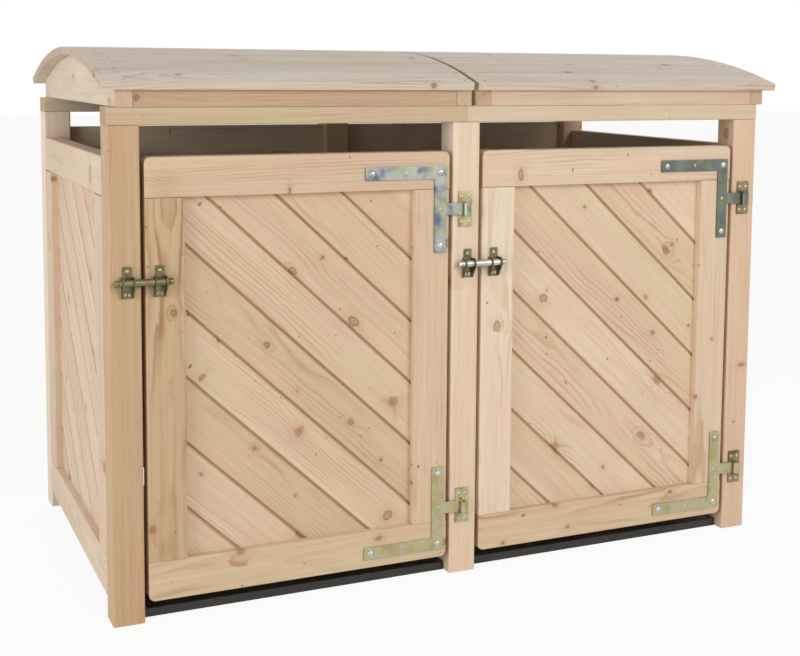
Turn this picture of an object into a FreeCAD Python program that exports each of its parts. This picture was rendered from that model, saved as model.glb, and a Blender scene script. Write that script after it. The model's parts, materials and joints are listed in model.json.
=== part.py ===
"""Double wheelie bin store in larch: six posts, framed board panels, two doors and two curved lids.

The model is written in a working frame whose zero is the outer bottom corner of the front left post,
with X to the right along the front, Y towards the back and Z up. At the end everything is moved so
that the origin lies on the ground under the middle of the whole store. All sizes are in millimetres.
"""

import FreeCAD
import Part
import math
import os

Vector = FreeCAD.Vector

# Posts and headers
store_width = 1690.0
store_depth = 940.0
frame_height = 1136.0
post_size = 70.0
post_bevel = 3.5
header_height = 39.0
header_bevel = 2.5

# Framed panels: doors, sides and backs share one construction
panel_bottom = 46.0
panel_below_header = 68.0
back_panel_lift = 26.0
member_width = 88.0
member_thickness = 40.0
member_bevel = 3.5
board_recess = 20.0
board_thickness = 18.0
board_slope = 43.0
board_cover = 108.5
board_lap = 10.0
board_clearance = 0.5
board_chamfer = 4.0
board_first_joint = 98.0
tongue_depth = 6.0
tongue_thickness = 5.5
groove_play = 0.5
tenon_length = 28.0
tenon_width = 50.0
tenon_thickness = 12.0
tenon_setback = 14.0
tenon_play = 0.2

# Doors
door_gap = 9.0
door_corner_radius = 14.0

# Floor boards in the two bays
floor_thickness = 20.0

# Lids
lid_offset = 18.0
lid_side_overhang = 30.0
lid_front_overhang = 18.0
lid_rear_overhang = 45.0
lid_gap = 12.0
lid_edge_height = 53.0
lid_crown_height = 132.0
gable_thickness = 39.0
gable_rear_overhang = 20.0
lid_rail_depth = 40.0
slat_thickness = 18.0
slat_width = 91.0
slat_gap = 1.2
slat_bevel = 2.0
nose_bevel = 4.0
smallest_end_slat = 50.0

# Angle straps on the doors and the pintles that carry them
strap_width = 30.0
strap_arm = 205.0
strap_thickness = 4.0
strap_side_inset = 10.0
strap_top_inset = 34.0
strap_bottom_inset = 20.0
stub_height = 28.0
stub_crank_start = 4.0
stub_crank_length = 14.0
pintle_from_post_edge = 32.0
pintle_radius = 5.0
pintle_play = 0.08
pintle_above_eye = 3.0
eye_wall = 4.0
pintle_plate_width = 36.0
pintle_plate_height = 86.0
pintle_plate_thickness = 3.0
eye_to_plate = 0.9
ledge_thickness = 3.5
ledge_play = 0.3

# Sliding bolts
rod_radius = 8.0
rod_length = 128.0
rod_below_panel_top = 268.0
rod_middle_offset = -1.0
rod_guide_play = 0.1
rod_keep_play = 0.6
bracket_offset = 35.0
bracket_width = 26.0
bracket_plate = 2.5
cheek_thickness = 2.5
bracket_tab_width = 20.0
bracket_tab_height = 22.0
bracket_below = 34.0
rod_to_plate = 2.5
cheek_rim = 4.5
cheek_foot_depth = 7.0
cheek_bevel = 6.0

# Butt hinges at the back of the lids
hinge_length = 70.0
hinge_leaf_height = 28.0
hinge_leaf_thickness = 2.5
hinge_leaf_play = 0.5
hinge_barrel_radius = 5.0
hinge_standoff = 0.4
hinge_pin_radius = 2.5
hinge_pin_play = 0.06
hinge_knuckle_gap = 0.4
hinge_end_inset = 110.0

# Derived sizes
bay_width = (store_width - 3 * post_size) / 2
post_height = frame_height - header_height
panel_top = post_height - panel_below_header
panel_height = panel_top - panel_bottom
door_width = bay_width - 2 * door_gap
side_panel_width = store_depth - 2 * post_size
centre_post_left = (store_width - post_size) / 2
middle_x = store_width / 2

eye_radius = pintle_radius + pintle_play + eye_wall
pintle_y = -(pintle_plate_thickness + eye_to_plate + eye_radius)
rod_y = -(bracket_plate + rod_to_plate + rod_radius)
rod_height = panel_top - rod_below_panel_top

arch_half_span = (store_depth + lid_front_overhang + lid_rear_overhang) / 2
arch_rise = lid_crown_height - lid_edge_height
arch_outer_radius = (arch_half_span ** 2 + arch_rise ** 2) / (2 * arch_rise)
arch_inner_radius = arch_outer_radius - slat_thickness
arch_y = arch_half_span - lid_front_overhang
arch_z = frame_height + lid_crown_height - arch_outer_radius

hinge_axis_y = store_depth + hinge_standoff + hinge_barrel_radius
hinge_axis_z = frame_height
hinge_leaf_gap = hinge_barrel_radius + hinge_leaf_play

parts = {}


def box(x_range, y_range, z_range):
    """Return a box between the given limits along each axis."""
    corner = Vector(x_range[0], y_range[0], z_range[0])
    size = (x_range[1] - x_range[0], y_range[1] - y_range[0], z_range[1] - z_range[0])
    return Part.makeBox(size[0], size[1], size[2], corner)


def cylinder(radius, height, base, direction):
    """Return a cylinder from a point along a direction."""
    return Part.makeCylinder(radius, height, base, direction)


def polygon_prism(points, direction):
    """Return the prism that a closed outline of points sweeps along a direction."""
    wire = Part.makePolygon(points + [points[0]])
    return Part.Face(wire).extrude(direction)


def edges_where(shape, test):
    """Return the straight edges whose two ends both pass a test."""
    return [
        edge for edge in shape.Edges
        if len(edge.Vertexes) == 2 and all(test(vertex.Point) for vertex in edge.Vertexes)
    ]


def edges_along(shape, axis):
    """Return the straight edges that run along an axis."""
    found = []
    for edge in shape.Edges:
        if len(edge.Vertexes) != 2:
            continue
        run = edge.Vertexes[1].Point.sub(edge.Vertexes[0].Point)
        if run.Length > 0 and abs(abs(run.dot(axis)) - run.Length) < 1e-6 * run.Length:
            found.append(edge)
    return found


def near(value, target):
    """Tell whether two coordinates are the same point for the purpose of picking edges."""
    return abs(value - target) < 1e-4


def moved(shape, x, y, z, turn=0.0):
    """Return a copy turned about the vertical through zero and then moved."""
    copy = shape.copy()
    rotation = FreeCAD.Rotation(Vector(0, 0, 1), turn)
    copy.Placement = FreeCAD.Placement(Vector(x, y, z), rotation)
    return copy


def group(shapes):
    """Return separate solids as one compound."""
    return Part.makeCompound(shapes)


# Posts and headers

def make_post(x, y):
    """Return a post with its four upright arrises eased."""
    post = box((x, x + post_size), (y, y + post_size), (0, post_height))
    return post.makeChamfer(post_bevel, edges_along(post, Vector(0, 0, 1)))


def make_header(x_range, y):
    """Return one length of header, flat on the posts, with its long arrises eased."""
    header = box(x_range, (y, y + post_size), (post_height, frame_height))
    return header.makeChamfer(header_bevel, edges_along(header, Vector(1, 0, 0)))


def make_frame():
    """Add the six posts and the four headers."""
    columns = {"left": 0.0, "centre": centre_post_left, "right": store_width - post_size}
    rows = {"front": 0.0, "rear": store_depth - post_size}
    halves = {"left": (0.0, middle_x), "right": (middle_x, store_width)}
    for row, y in rows.items():
        for column, x in columns.items():
            parts[f"{row}_{column}_post"] = make_post(x, y)
        for half, x_range in halves.items():
            parts[f"{row}_{half}_header"] = make_header(x_range, y)


# Framed panels, drawn with their outer face at y = 0 and their lower left corner at zero

def panel_rebate(width):
    """Return the space that the boards fill behind the frame's inner edges."""
    edge = member_width - board_lap
    return box((edge, width - edge), (board_recess, member_thickness), (edge, panel_height - edge))


def tenon(x, z, upwards, play=0.0):
    """Return a tenon that stands on a stile's end, or with play the mortise for it."""
    low, high = (z - play, z + tenon_length + play) if upwards else (z - tenon_length - play, z + play)
    front = (member_thickness / 2) - tenon_thickness - 2 * tenon_play
    return box(
        (x - play, x + tenon_width + play),
        (front - play, front + tenon_thickness + play),
        (low, high),
    )


def tenon_places(width):
    """Return the left end of the tenons on the two stiles."""
    return tenon_setback, width - tenon_setback - tenon_width


def make_rail(width, top, corner_radius):
    """Return a top or bottom rail with its mortises, rounded outer corners and eased face arrises."""
    z_range = (panel_height - member_width, panel_height) if top else (0.0, member_width)
    outer_z = z_range[1] if top else z_range[0]
    inner_z = z_range[0] if top else z_range[1]
    rail = box((0, width), (0, member_thickness), z_range)
    if corner_radius > 0:
        corners = [
            edge for edge in edges_along(rail, Vector(0, 1, 0))
            if near(edge.Vertexes[0].Point.z, outer_z)
        ]
        rail = rail.makeFillet(corner_radius, corners)
    rail = rail.makeChamfer(member_bevel, edges_where(rail, lambda point: near(point.y, 0)))
    rail = rail.cut(panel_rebate(width))
    for x in tenon_places(width):
        rail = rail.cut(tenon(x, inner_z, top, tenon_play))
    return rail


def make_stile(width, left):
    """Return a stile with a tenon at each end and its long face arrises eased."""
    x_range = (0.0, member_width) if left else (width - member_width, width)
    low, high = member_width, panel_height - member_width
    stile = box(x_range, (0, member_thickness), (low, high))
    face_arrises = [
        edge for edge in edges_along(stile, Vector(0, 0, 1)) if near(edge.Vertexes[0].Point.y, 0)
    ]
    stile = stile.makeChamfer(member_bevel, face_arrises)
    stile = stile.cut(panel_rebate(width))
    x = tenon_places(width)[0 if left else 1]
    return stile.fuse([tenon(x, low, False), tenon(x, high, True)])


def board_section(across_low, across_high):
    """Return the outline of one tongue and groove board, as points (across, depth)."""
    front = board_recess
    back = board_recess + board_thickness
    tongue_front = (front + back - tongue_thickness) / 2
    tongue_back = tongue_front + tongue_thickness
    groove_bottom = across_low + tongue_depth + groove_play
    return [
        (across_low + board_chamfer, front),
        (across_high - board_chamfer, front),
        (across_high, front + board_chamfer),
        (across_high, tongue_front),
        (across_high + tongue_depth, tongue_front),
        (across_high + tongue_depth, tongue_back),
        (across_high, tongue_back),
        (across_high, back),
        (across_low, back),
        (across_low, tongue_back + groove_play),
        (groove_bottom, tongue_back + groove_play),
        (groove_bottom, tongue_front - groove_play),
        (across_low, tongue_front - groove_play),
        (across_low, front + board_chamfer),
    ]


def make_boards(width):
    """Return the diagonal boards of a panel, falling from upper left to lower right."""
    edge = member_width - board_lap + board_clearance
    field = box(
        (edge, width - edge),
        (board_recess, board_recess + board_thickness),
        (edge, panel_height - edge),
    )
    slope = math.radians(board_slope)
    across = Vector(math.sin(slope), 0, math.cos(slope))
    along = Vector(math.cos(slope), 0, -math.sin(slope))
    reach = width + panel_height
    lowest = edge * (across.x + across.z)
    highest = (width - edge) * across.x + (panel_height - edge) * across.z
    joints = [lowest - tongue_depth]
    joint = board_first_joint
    while joint < highest - board_cover / 2:
        if joint > lowest + board_cover / 3:
            joints.append(joint)
        joint += board_cover
    joints.append(highest + tongue_depth)
    boards = []
    for low, high in zip(joints[:-1], joints[1:]):
        outline = [
            across * place + along * (-reach) + Vector(0, depth, 0)
            for place, depth in board_section(low, high)
        ]
        boards.append(polygon_prism(outline, along * (2 * reach)).common(field))
    return group(boards)


def make_fixed_panel(name, width, x, y, turn, lift=0.0):
    """Add a fixed panel as rails, stiles and boards, turned, moved into the frame and lifted."""
    z = panel_bottom + lift
    rails = group([make_rail(width, top, 0.0) for top in (True, False)])
    stiles = group([make_stile(width, left) for left in (True, False)])
    parts[f"{name}_rails"] = moved(rails, x, y, z, turn)
    parts[f"{name}_stiles"] = moved(stiles, x, y, z, turn)
    parts[f"{name}_boards"] = moved(make_boards(width), x, y, z, turn)


def make_fixed_panels():
    """Add the two side panels and the two back panels."""
    make_fixed_panel("left_side", side_panel_width, 0.0, store_depth - post_size, -90.0)
    make_fixed_panel("right_side", side_panel_width, store_width, post_size, 90.0)
    make_fixed_panel("left_back", bay_width, centre_post_left, store_depth, 180.0, back_panel_lift)
    make_fixed_panel("right_back", bay_width, store_width - post_size, store_depth, 180.0, back_panel_lift)


def make_floor():
    """Add a floor board in each bay, from behind the front posts to the back panel."""
    for side, x in (("left", post_size), ("right", centre_post_left + post_size)):
        parts[f"{side}_floor_board"] = box(
            (x, x + bay_width),
            (post_size, store_depth - member_thickness),
            (0, floor_thickness),
        )


# Door furniture, placed by the door's left end and by the height of the panel

def strap_outline(right, corner_z, direction):
    """Return an angle strap's flat L shape; direction is -1 for arms down, 1 for arms up."""
    left = right - strap_arm
    points = [
        (left, corner_z),
        (right, corner_z),
        (right, corner_z + direction * strap_arm),
        (right - strap_width, corner_z + direction * strap_arm),
        (right - strap_width, corner_z + direction * strap_width),
        (left, corner_z + direction * strap_width),
    ]
    return [Vector(x, 0, z) for x, z in points]


def make_strap(right, corner_z, direction, eye_x):
    """Return an angle strap with its cranked stub rolled into an eye round the pintle."""
    plate = polygon_prism(strap_outline(right, corner_z, direction), Vector(0, -strap_thickness, 0))
    middle_z = corner_z + direction * strap_arm / 2
    low_z = middle_z - stub_height / 2
    crank_x = right + stub_crank_start
    flat_x = crank_x + stub_crank_length
    eye_back = pintle_y + eye_radius
    stub_points = [
        (right - strap_width / 2, 0),
        (crank_x, 0),
        (flat_x, eye_back),
        (eye_x, eye_back),
        (eye_x, eye_back - eye_wall),
        (flat_x, eye_back - eye_wall),
        (crank_x, -strap_thickness),
        (right - strap_width / 2, -strap_thickness),
    ]
    stub = polygon_prism([Vector(x, y, low_z) for x, y in stub_points], Vector(0, 0, stub_height))
    eye = cylinder(eye_radius, stub_height, Vector(eye_x, pintle_y, low_z), Vector(0, 0, 1))
    bore = cylinder(pintle_radius + pintle_play, stub_height, Vector(eye_x, pintle_y, low_z), Vector(0, 0, 1))
    return plate.fuse([stub, eye]).cut(bore).removeSplitter()


def make_pintle(x, z):
    """Return a pintle: a screwed plate with a ledge that carries the upright pin; z is the eye's middle."""
    plate = box(
        (x - pintle_plate_width / 2, x + pintle_plate_width / 2),
        (-pintle_plate_thickness, 0),
        (z - pintle_plate_height / 2, z + pintle_plate_height / 2),
    )
    ledge_top = z - stub_height / 2 - ledge_play
    ledge_low = ledge_top - ledge_thickness
    ledge = box((x - eye_radius, x + eye_radius), (pintle_y, 0), (ledge_low, ledge_top))
    nose = cylinder(eye_radius, ledge_thickness, Vector(x, pintle_y, ledge_low), Vector(0, 0, 1))
    pin_length = ledge_thickness + ledge_play + stub_height + pintle_above_eye
    pin = cylinder(pintle_radius, pin_length, Vector(x, pintle_y, ledge_low), Vector(0, 0, 1))
    return plate.fuse([ledge, nose, pin]).removeSplitter()


def make_bracket(x, play):
    """Return a bolt bracket centred on x: a back plate with a tab and two bored cheeks."""
    low = rod_height - bracket_below
    cheek_top = rod_height + rod_radius + cheek_rim
    tab_top = cheek_top + bracket_tab_height
    body = box((x - bracket_width / 2, x + bracket_width / 2), (-bracket_plate, 0), (low, cheek_top))
    tab = box((x - bracket_tab_width / 2, x + bracket_tab_width / 2), (-bracket_plate, 0), (cheek_top, tab_top))
    cheek_front = rod_y - rod_radius - cheek_rim
    outline = [
        (0, cheek_top),
        (cheek_front + cheek_bevel, cheek_top),
        (cheek_front, cheek_top - cheek_bevel),
        (cheek_front, rod_height - cheek_bevel),
        (-cheek_foot_depth, low),
        (0, low),
    ]
    solids = [tab]
    for left in (x - bracket_width / 2, x + bracket_width / 2 - cheek_thickness):
        solids.append(polygon_prism([Vector(left, y, z) for y, z in outline], Vector(cheek_thickness, 0, 0)))
    bracket = body.fuse(solids)
    bore = cylinder(
        rod_radius + play, bracket_width, Vector(x - bracket_width / 2, rod_y, rod_height), Vector(1, 0, 0)
    )
    return bracket.cut(bore).removeSplitter()


def make_rod(x):
    """Return a sliding bolt's round bar, centred on x."""
    return cylinder(rod_radius, rod_length, Vector(x - rod_length / 2, rod_y, rod_height), Vector(1, 0, 0))


def make_door(side, x):
    """Add a door with its left end at x, hung on the post at its right."""
    straps_right = x + door_width - strap_side_inset
    eye_x = x + door_width + door_gap + pintle_from_post_edge
    corners = ((panel_top - strap_top_inset, -1), (panel_bottom + strap_bottom_inset, 1))
    members = {
        "top_rail": make_rail(door_width, True, door_corner_radius),
        "bottom_rail": make_rail(door_width, False, door_corner_radius),
        "latch_stile": make_stile(door_width, True),
        "hinge_stile": make_stile(door_width, False),
        "boards": make_boards(door_width),
    }
    for name, shape in members.items():
        parts[f"{side}_door_{name}"] = moved(shape, x, 0.0, panel_bottom)
    parts[f"{side}_door_straps"] = group([make_strap(straps_right, z, way, eye_x) for z, way in corners])
    eyes = [z + way * strap_arm / 2 for z, way in corners]
    parts[f"{side}_door_pintles"] = group([make_pintle(eye_x, z) for z in eyes])
    gap_middle = x - door_gap / 2
    parts[f"{side}_bolt_keep"] = make_bracket(gap_middle - bracket_offset, rod_keep_play)
    parts[f"{side}_bolt_guide"] = make_bracket(gap_middle + bracket_offset, rod_guide_play)
    parts[f"{side}_bolt_rod"] = make_rod(gap_middle + rod_middle_offset)


# Lids

def arch_height(y):
    """Return the height of the gables' curved top at a depth."""
    return arch_z + math.sqrt(arch_inner_radius ** 2 - (y - arch_y) ** 2)


def arched_block(x_range, y_range):
    """Return a block that stands on the headers and follows the curve on top."""
    front, back = y_range
    middle = (front + back) / 2
    corner_front = Vector(x_range[0], front, arch_height(front))
    corner_back = Vector(x_range[0], back, arch_height(back))
    crown = Vector(x_range[0], middle, arch_height(middle))
    foot_front = Vector(x_range[0], front, frame_height)
    foot_back = Vector(x_range[0], back, frame_height)
    edges = [
        Part.makeLine(foot_front, corner_front),
        Part.Arc(corner_front, crown, corner_back).toShape(),
        Part.makeLine(corner_back, foot_back),
        Part.makeLine(foot_back, foot_front),
    ]
    return Part.Face(Part.Wire(edges)).extrude(Vector(x_range[1] - x_range[0], 0, 0))


def slat_plan():
    """Return the lean and width of each slat, from the front edge to the back one."""
    half = math.asin(arch_half_span / arch_outer_radius)
    pitch = 2 * math.atan(slat_width / 2 / arch_inner_radius) + slat_gap / arch_inner_radius
    least = smallest_end_slat / arch_inner_radius
    count = int((2 * half - 2 * least) / pitch)
    end = half - count * pitch / 2
    end_width = end * arch_inner_radius - slat_gap
    plan = [(-half + end / 2, end_width)]
    plan += [((index - (count - 1) / 2) * pitch, slat_width) for index in range(count)]
    plan.append((half - end / 2, end_width))
    return plan


def make_slat(x_range, lean, width, nose):
    """Return a flat slat laid across the gables at a lean from the upright; nose names its free edge."""
    length = x_range[1] - x_range[0]
    slat = Part.makeBox(length, width, slat_thickness, Vector(x_range[0], -width / 2, 0))

    def is_free(edge):
        """Tell whether an edge is the top arris on the slat's free side."""
        point = edge.Vertexes[0].Point
        return near(point.y, nose * width / 2) and near(point.z, slat_thickness)

    long_edges = edges_along(slat, Vector(1, 0, 0))
    slat = slat.makeChamfer(slat_bevel, [edge for edge in long_edges if not is_free(edge)])
    free_edges = [edge for edge in edges_along(slat, Vector(1, 0, 0)) if is_free(edge)]
    if free_edges:
        slat = slat.makeChamfer(nose_bevel, free_edges)
    seat = Vector(0, arch_y + arch_inner_radius * math.sin(lean), arch_z + arch_inner_radius * math.cos(lean))
    slat.Placement = FreeCAD.Placement(seat, FreeCAD.Rotation(Vector(1, 0, 0), -math.degrees(lean)))
    return slat


def hinge_places(lid_range):
    """Return the left end of the two butt hinges of one lid."""
    low, high = lid_range
    return low + hinge_end_inset, high - hinge_end_inset - hinge_length


def knuckle(x_range, bored):
    """Return a length of hinge barrel, bored for the pin or solid."""
    length = x_range[1] - x_range[0]
    base = Vector(x_range[0], hinge_axis_y, hinge_axis_z)
    barrel = cylinder(hinge_barrel_radius, length, base, Vector(1, 0, 0))
    if not bored:
        return barrel
    return barrel.cut(cylinder(hinge_pin_radius + hinge_pin_play, length, base, Vector(1, 0, 0)))


def make_hinge(x):
    """Return the two halves of a butt hinge: the one on the header with the pin, and the lid's."""
    third = hinge_length / 3
    back = store_depth
    leaf_y = (back, back + hinge_leaf_thickness)
    low_z = (hinge_axis_z - hinge_leaf_gap - hinge_leaf_height, hinge_axis_z - hinge_leaf_gap)
    high_z = (hinge_axis_z + hinge_leaf_gap, hinge_axis_z + hinge_leaf_gap + hinge_leaf_height)
    ends = ((x, x + third - hinge_knuckle_gap / 2), (x + 2 * third + hinge_knuckle_gap / 2, x + hinge_length))
    middle = (x + third + hinge_knuckle_gap / 2, x + 2 * third - hinge_knuckle_gap / 2)
    pin = cylinder(hinge_pin_radius, hinge_length, Vector(x, hinge_axis_y, hinge_axis_z), Vector(1, 0, 0))
    fixed = [box((x, x + hinge_length), leaf_y, low_z)]
    fixed += [box(end, leaf_y, (low_z[1], hinge_axis_z)) for end in ends]
    fixed += [knuckle(end, False) for end in ends]
    moving = box((x, x + hinge_length), leaf_y, high_z)
    moving = moving.fuse([box(middle, leaf_y, (hinge_axis_z, high_z[0])), knuckle(middle, False)])
    middle_length = middle[1] - middle[0]
    bore = cylinder(
        hinge_pin_radius + hinge_pin_play, middle_length,
        Vector(middle[0], hinge_axis_y, hinge_axis_z), Vector(1, 0, 0),
    )
    return pin.fuse(fixed).removeSplitter(), moving.cut(bore).removeSplitter()


def make_lid(side, slats_range, gables_range):
    """Add a lid: two arched gables, a front and a back rail between them, slats and its hinge halves."""
    left, right = gables_range
    inner_range = (left + gable_thickness, right - gable_thickness)
    gable_y = (0.0, store_depth + gable_rear_overhang)
    parts[f"{side}_lid_left_gable"] = arched_block((left, inner_range[0]), gable_y)
    parts[f"{side}_lid_right_gable"] = arched_block((inner_range[1], right), gable_y)
    parts[f"{side}_lid_front_rail"] = arched_block(inner_range, (0.0, lid_rail_depth))
    parts[f"{side}_lid_rear_rail"] = arched_block(inner_range, (store_depth - lid_rail_depth, store_depth))
    plan = slat_plan()
    slats = []
    for index, (lean, width) in enumerate(plan):
        nose = {0: -1, len(plan) - 1: 1}.get(index, 0)
        slats.append(make_slat(slats_range, lean, width, nose))
    parts[f"{side}_lid_slats"] = group(slats)
    hinges = [make_hinge(x) for x in hinge_places(inner_range)]
    parts[f"{side}_lid_hinge_leaves"] = group([moving for fixed, moving in hinges])
    return [fixed for fixed, moving in hinges]


def make_lids():
    """Add both lids, which sit a little to the right of the frame, and the frame's hinge halves."""
    left_end = lid_offset
    middle = middle_x + lid_offset
    right_end = store_width + lid_offset
    fixed = make_lid(
        "left",
        (left_end - lid_side_overhang, middle - lid_gap / 2),
        (left_end, middle - lid_gap / 2),
    )
    fixed += make_lid(
        "right",
        (middle + lid_gap / 2, right_end + lid_side_overhang),
        (middle + lid_gap / 2, right_end),
    )
    parts["rear_hinge_leaves"] = group(fixed)


def save_parts():
    """Write every part with the origin on the ground under the middle of the store."""
    whole = Part.makeCompound(list(parts.values())).optimalBoundingBox()
    shift = Vector(-whole.Center.x, -whole.Center.y, -whole.ZMin)
    os.makedirs("parts", exist_ok=True)
    for name, shape in parts.items():
        placed = shape.copy()
        placed.translate(shift)
        placed.exportStep(f"parts/{name}.step")
    print(f"{len(parts)} parts; shift {shift.x:.4f} {shift.y:.4f} {shift.z:.4f}")
    print(f"size {whole.XLength:.2f} x {whole.YLength:.2f} x {whole.ZLength:.2f}")


make_frame()
make_fixed_panels()
make_floor()
make_door("left", post_size + door_gap)
make_door("right", centre_post_left + post_size + door_gap)
make_lids()
save_parts()
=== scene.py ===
"""Looks of the double wheelie bin store: planed larch, plated ironwork and its small fasteners.

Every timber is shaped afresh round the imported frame, with rounded arrises, and carries the place in
the log that it was sawn from, so that rings, knots and sapwood run through it as in real wood.
All sizes are in metres, in the frame's own axes: X along the front, Y to the back, Z up.
"""

import itertools
import json
import logging
import math
import random
from dataclasses import dataclass, field
from enum import Enum
from typing import Callable, Sequence

import bmesh
import bpy
from mathutils import Matrix, Vector

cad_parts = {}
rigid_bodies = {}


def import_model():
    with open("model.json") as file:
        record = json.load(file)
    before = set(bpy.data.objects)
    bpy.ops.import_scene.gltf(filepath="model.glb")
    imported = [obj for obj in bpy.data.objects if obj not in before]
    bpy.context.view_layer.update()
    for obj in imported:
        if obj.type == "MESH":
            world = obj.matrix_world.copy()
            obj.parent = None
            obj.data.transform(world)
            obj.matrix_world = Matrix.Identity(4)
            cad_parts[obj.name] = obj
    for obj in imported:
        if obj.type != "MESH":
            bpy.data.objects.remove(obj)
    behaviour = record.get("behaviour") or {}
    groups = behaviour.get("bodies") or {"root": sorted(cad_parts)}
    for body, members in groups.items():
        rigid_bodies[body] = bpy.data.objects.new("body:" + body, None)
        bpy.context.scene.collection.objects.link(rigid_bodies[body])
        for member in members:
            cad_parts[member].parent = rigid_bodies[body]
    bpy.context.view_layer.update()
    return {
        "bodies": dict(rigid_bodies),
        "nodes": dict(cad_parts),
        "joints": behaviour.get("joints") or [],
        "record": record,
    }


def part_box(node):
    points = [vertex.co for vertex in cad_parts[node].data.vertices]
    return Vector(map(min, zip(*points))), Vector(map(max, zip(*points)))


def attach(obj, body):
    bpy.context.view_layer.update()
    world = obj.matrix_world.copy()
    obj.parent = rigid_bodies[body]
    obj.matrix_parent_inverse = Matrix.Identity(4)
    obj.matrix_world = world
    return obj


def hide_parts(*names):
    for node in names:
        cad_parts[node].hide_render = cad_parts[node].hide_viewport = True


LOG = logging.getLogger("bin_store")
IMAGE_WIDTH = 800
IMAGE_HEIGHT = 656

X_AXIS = Vector((1.0, 0.0, 0.0))
Y_AXIS = Vector((0.0, 1.0, 0.0))
Z_AXIS = Vector((0.0, 0.0, 1.0))

SHARP_ANGLE = math.radians(42.0)
SAME_PLACE = 1e-5
BUMP_STRENGTH = 0.6

Colour = tuple[float, float, float, float]
Shade = tuple[int, int, int]
Outline = Sequence[tuple[float, float]]
Points = list[tuple[float, float]]
Triple = tuple[float, float, float]
Socket = bpy.types.NodeSocket

# Turns a prism, which is drawn in X and Y, so that it is drawn in Y and Z and swept along X.
SWEEP_TO_X = Matrix(((0, 0, 1, 0), (1, 0, 0, 0), (0, 1, 0, 0), (0, 0, 0, 1)))


def screen_colour(shade: Shade) -> Colour:
    """Turn a screen colour into the linear colour that a shader takes.

    Args:
        shade: Red, green and blue from 0 to 255.

    Returns:
        The linear colour with full alpha.
    """
    shares = [channel / 255 for channel in shade]
    linear = [
        share / 12.92 if share <= 0.04045 else ((share + 0.055) / 1.055) ** 2.4 for share in shares
    ]
    return *linear, 1.0


def near(value: float, target: float) -> bool:
    """Tell whether two lengths are the same for the purpose of picking edges."""
    return abs(value - target) < SAME_PLACE


def new_object(name: str, data: bpy.types.ID) -> bpy.types.Object:
    """Put a new object with its data into the scene."""
    made = bpy.data.objects.new(name, data)
    bpy.context.scene.collection.objects.link(made)
    return made


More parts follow.
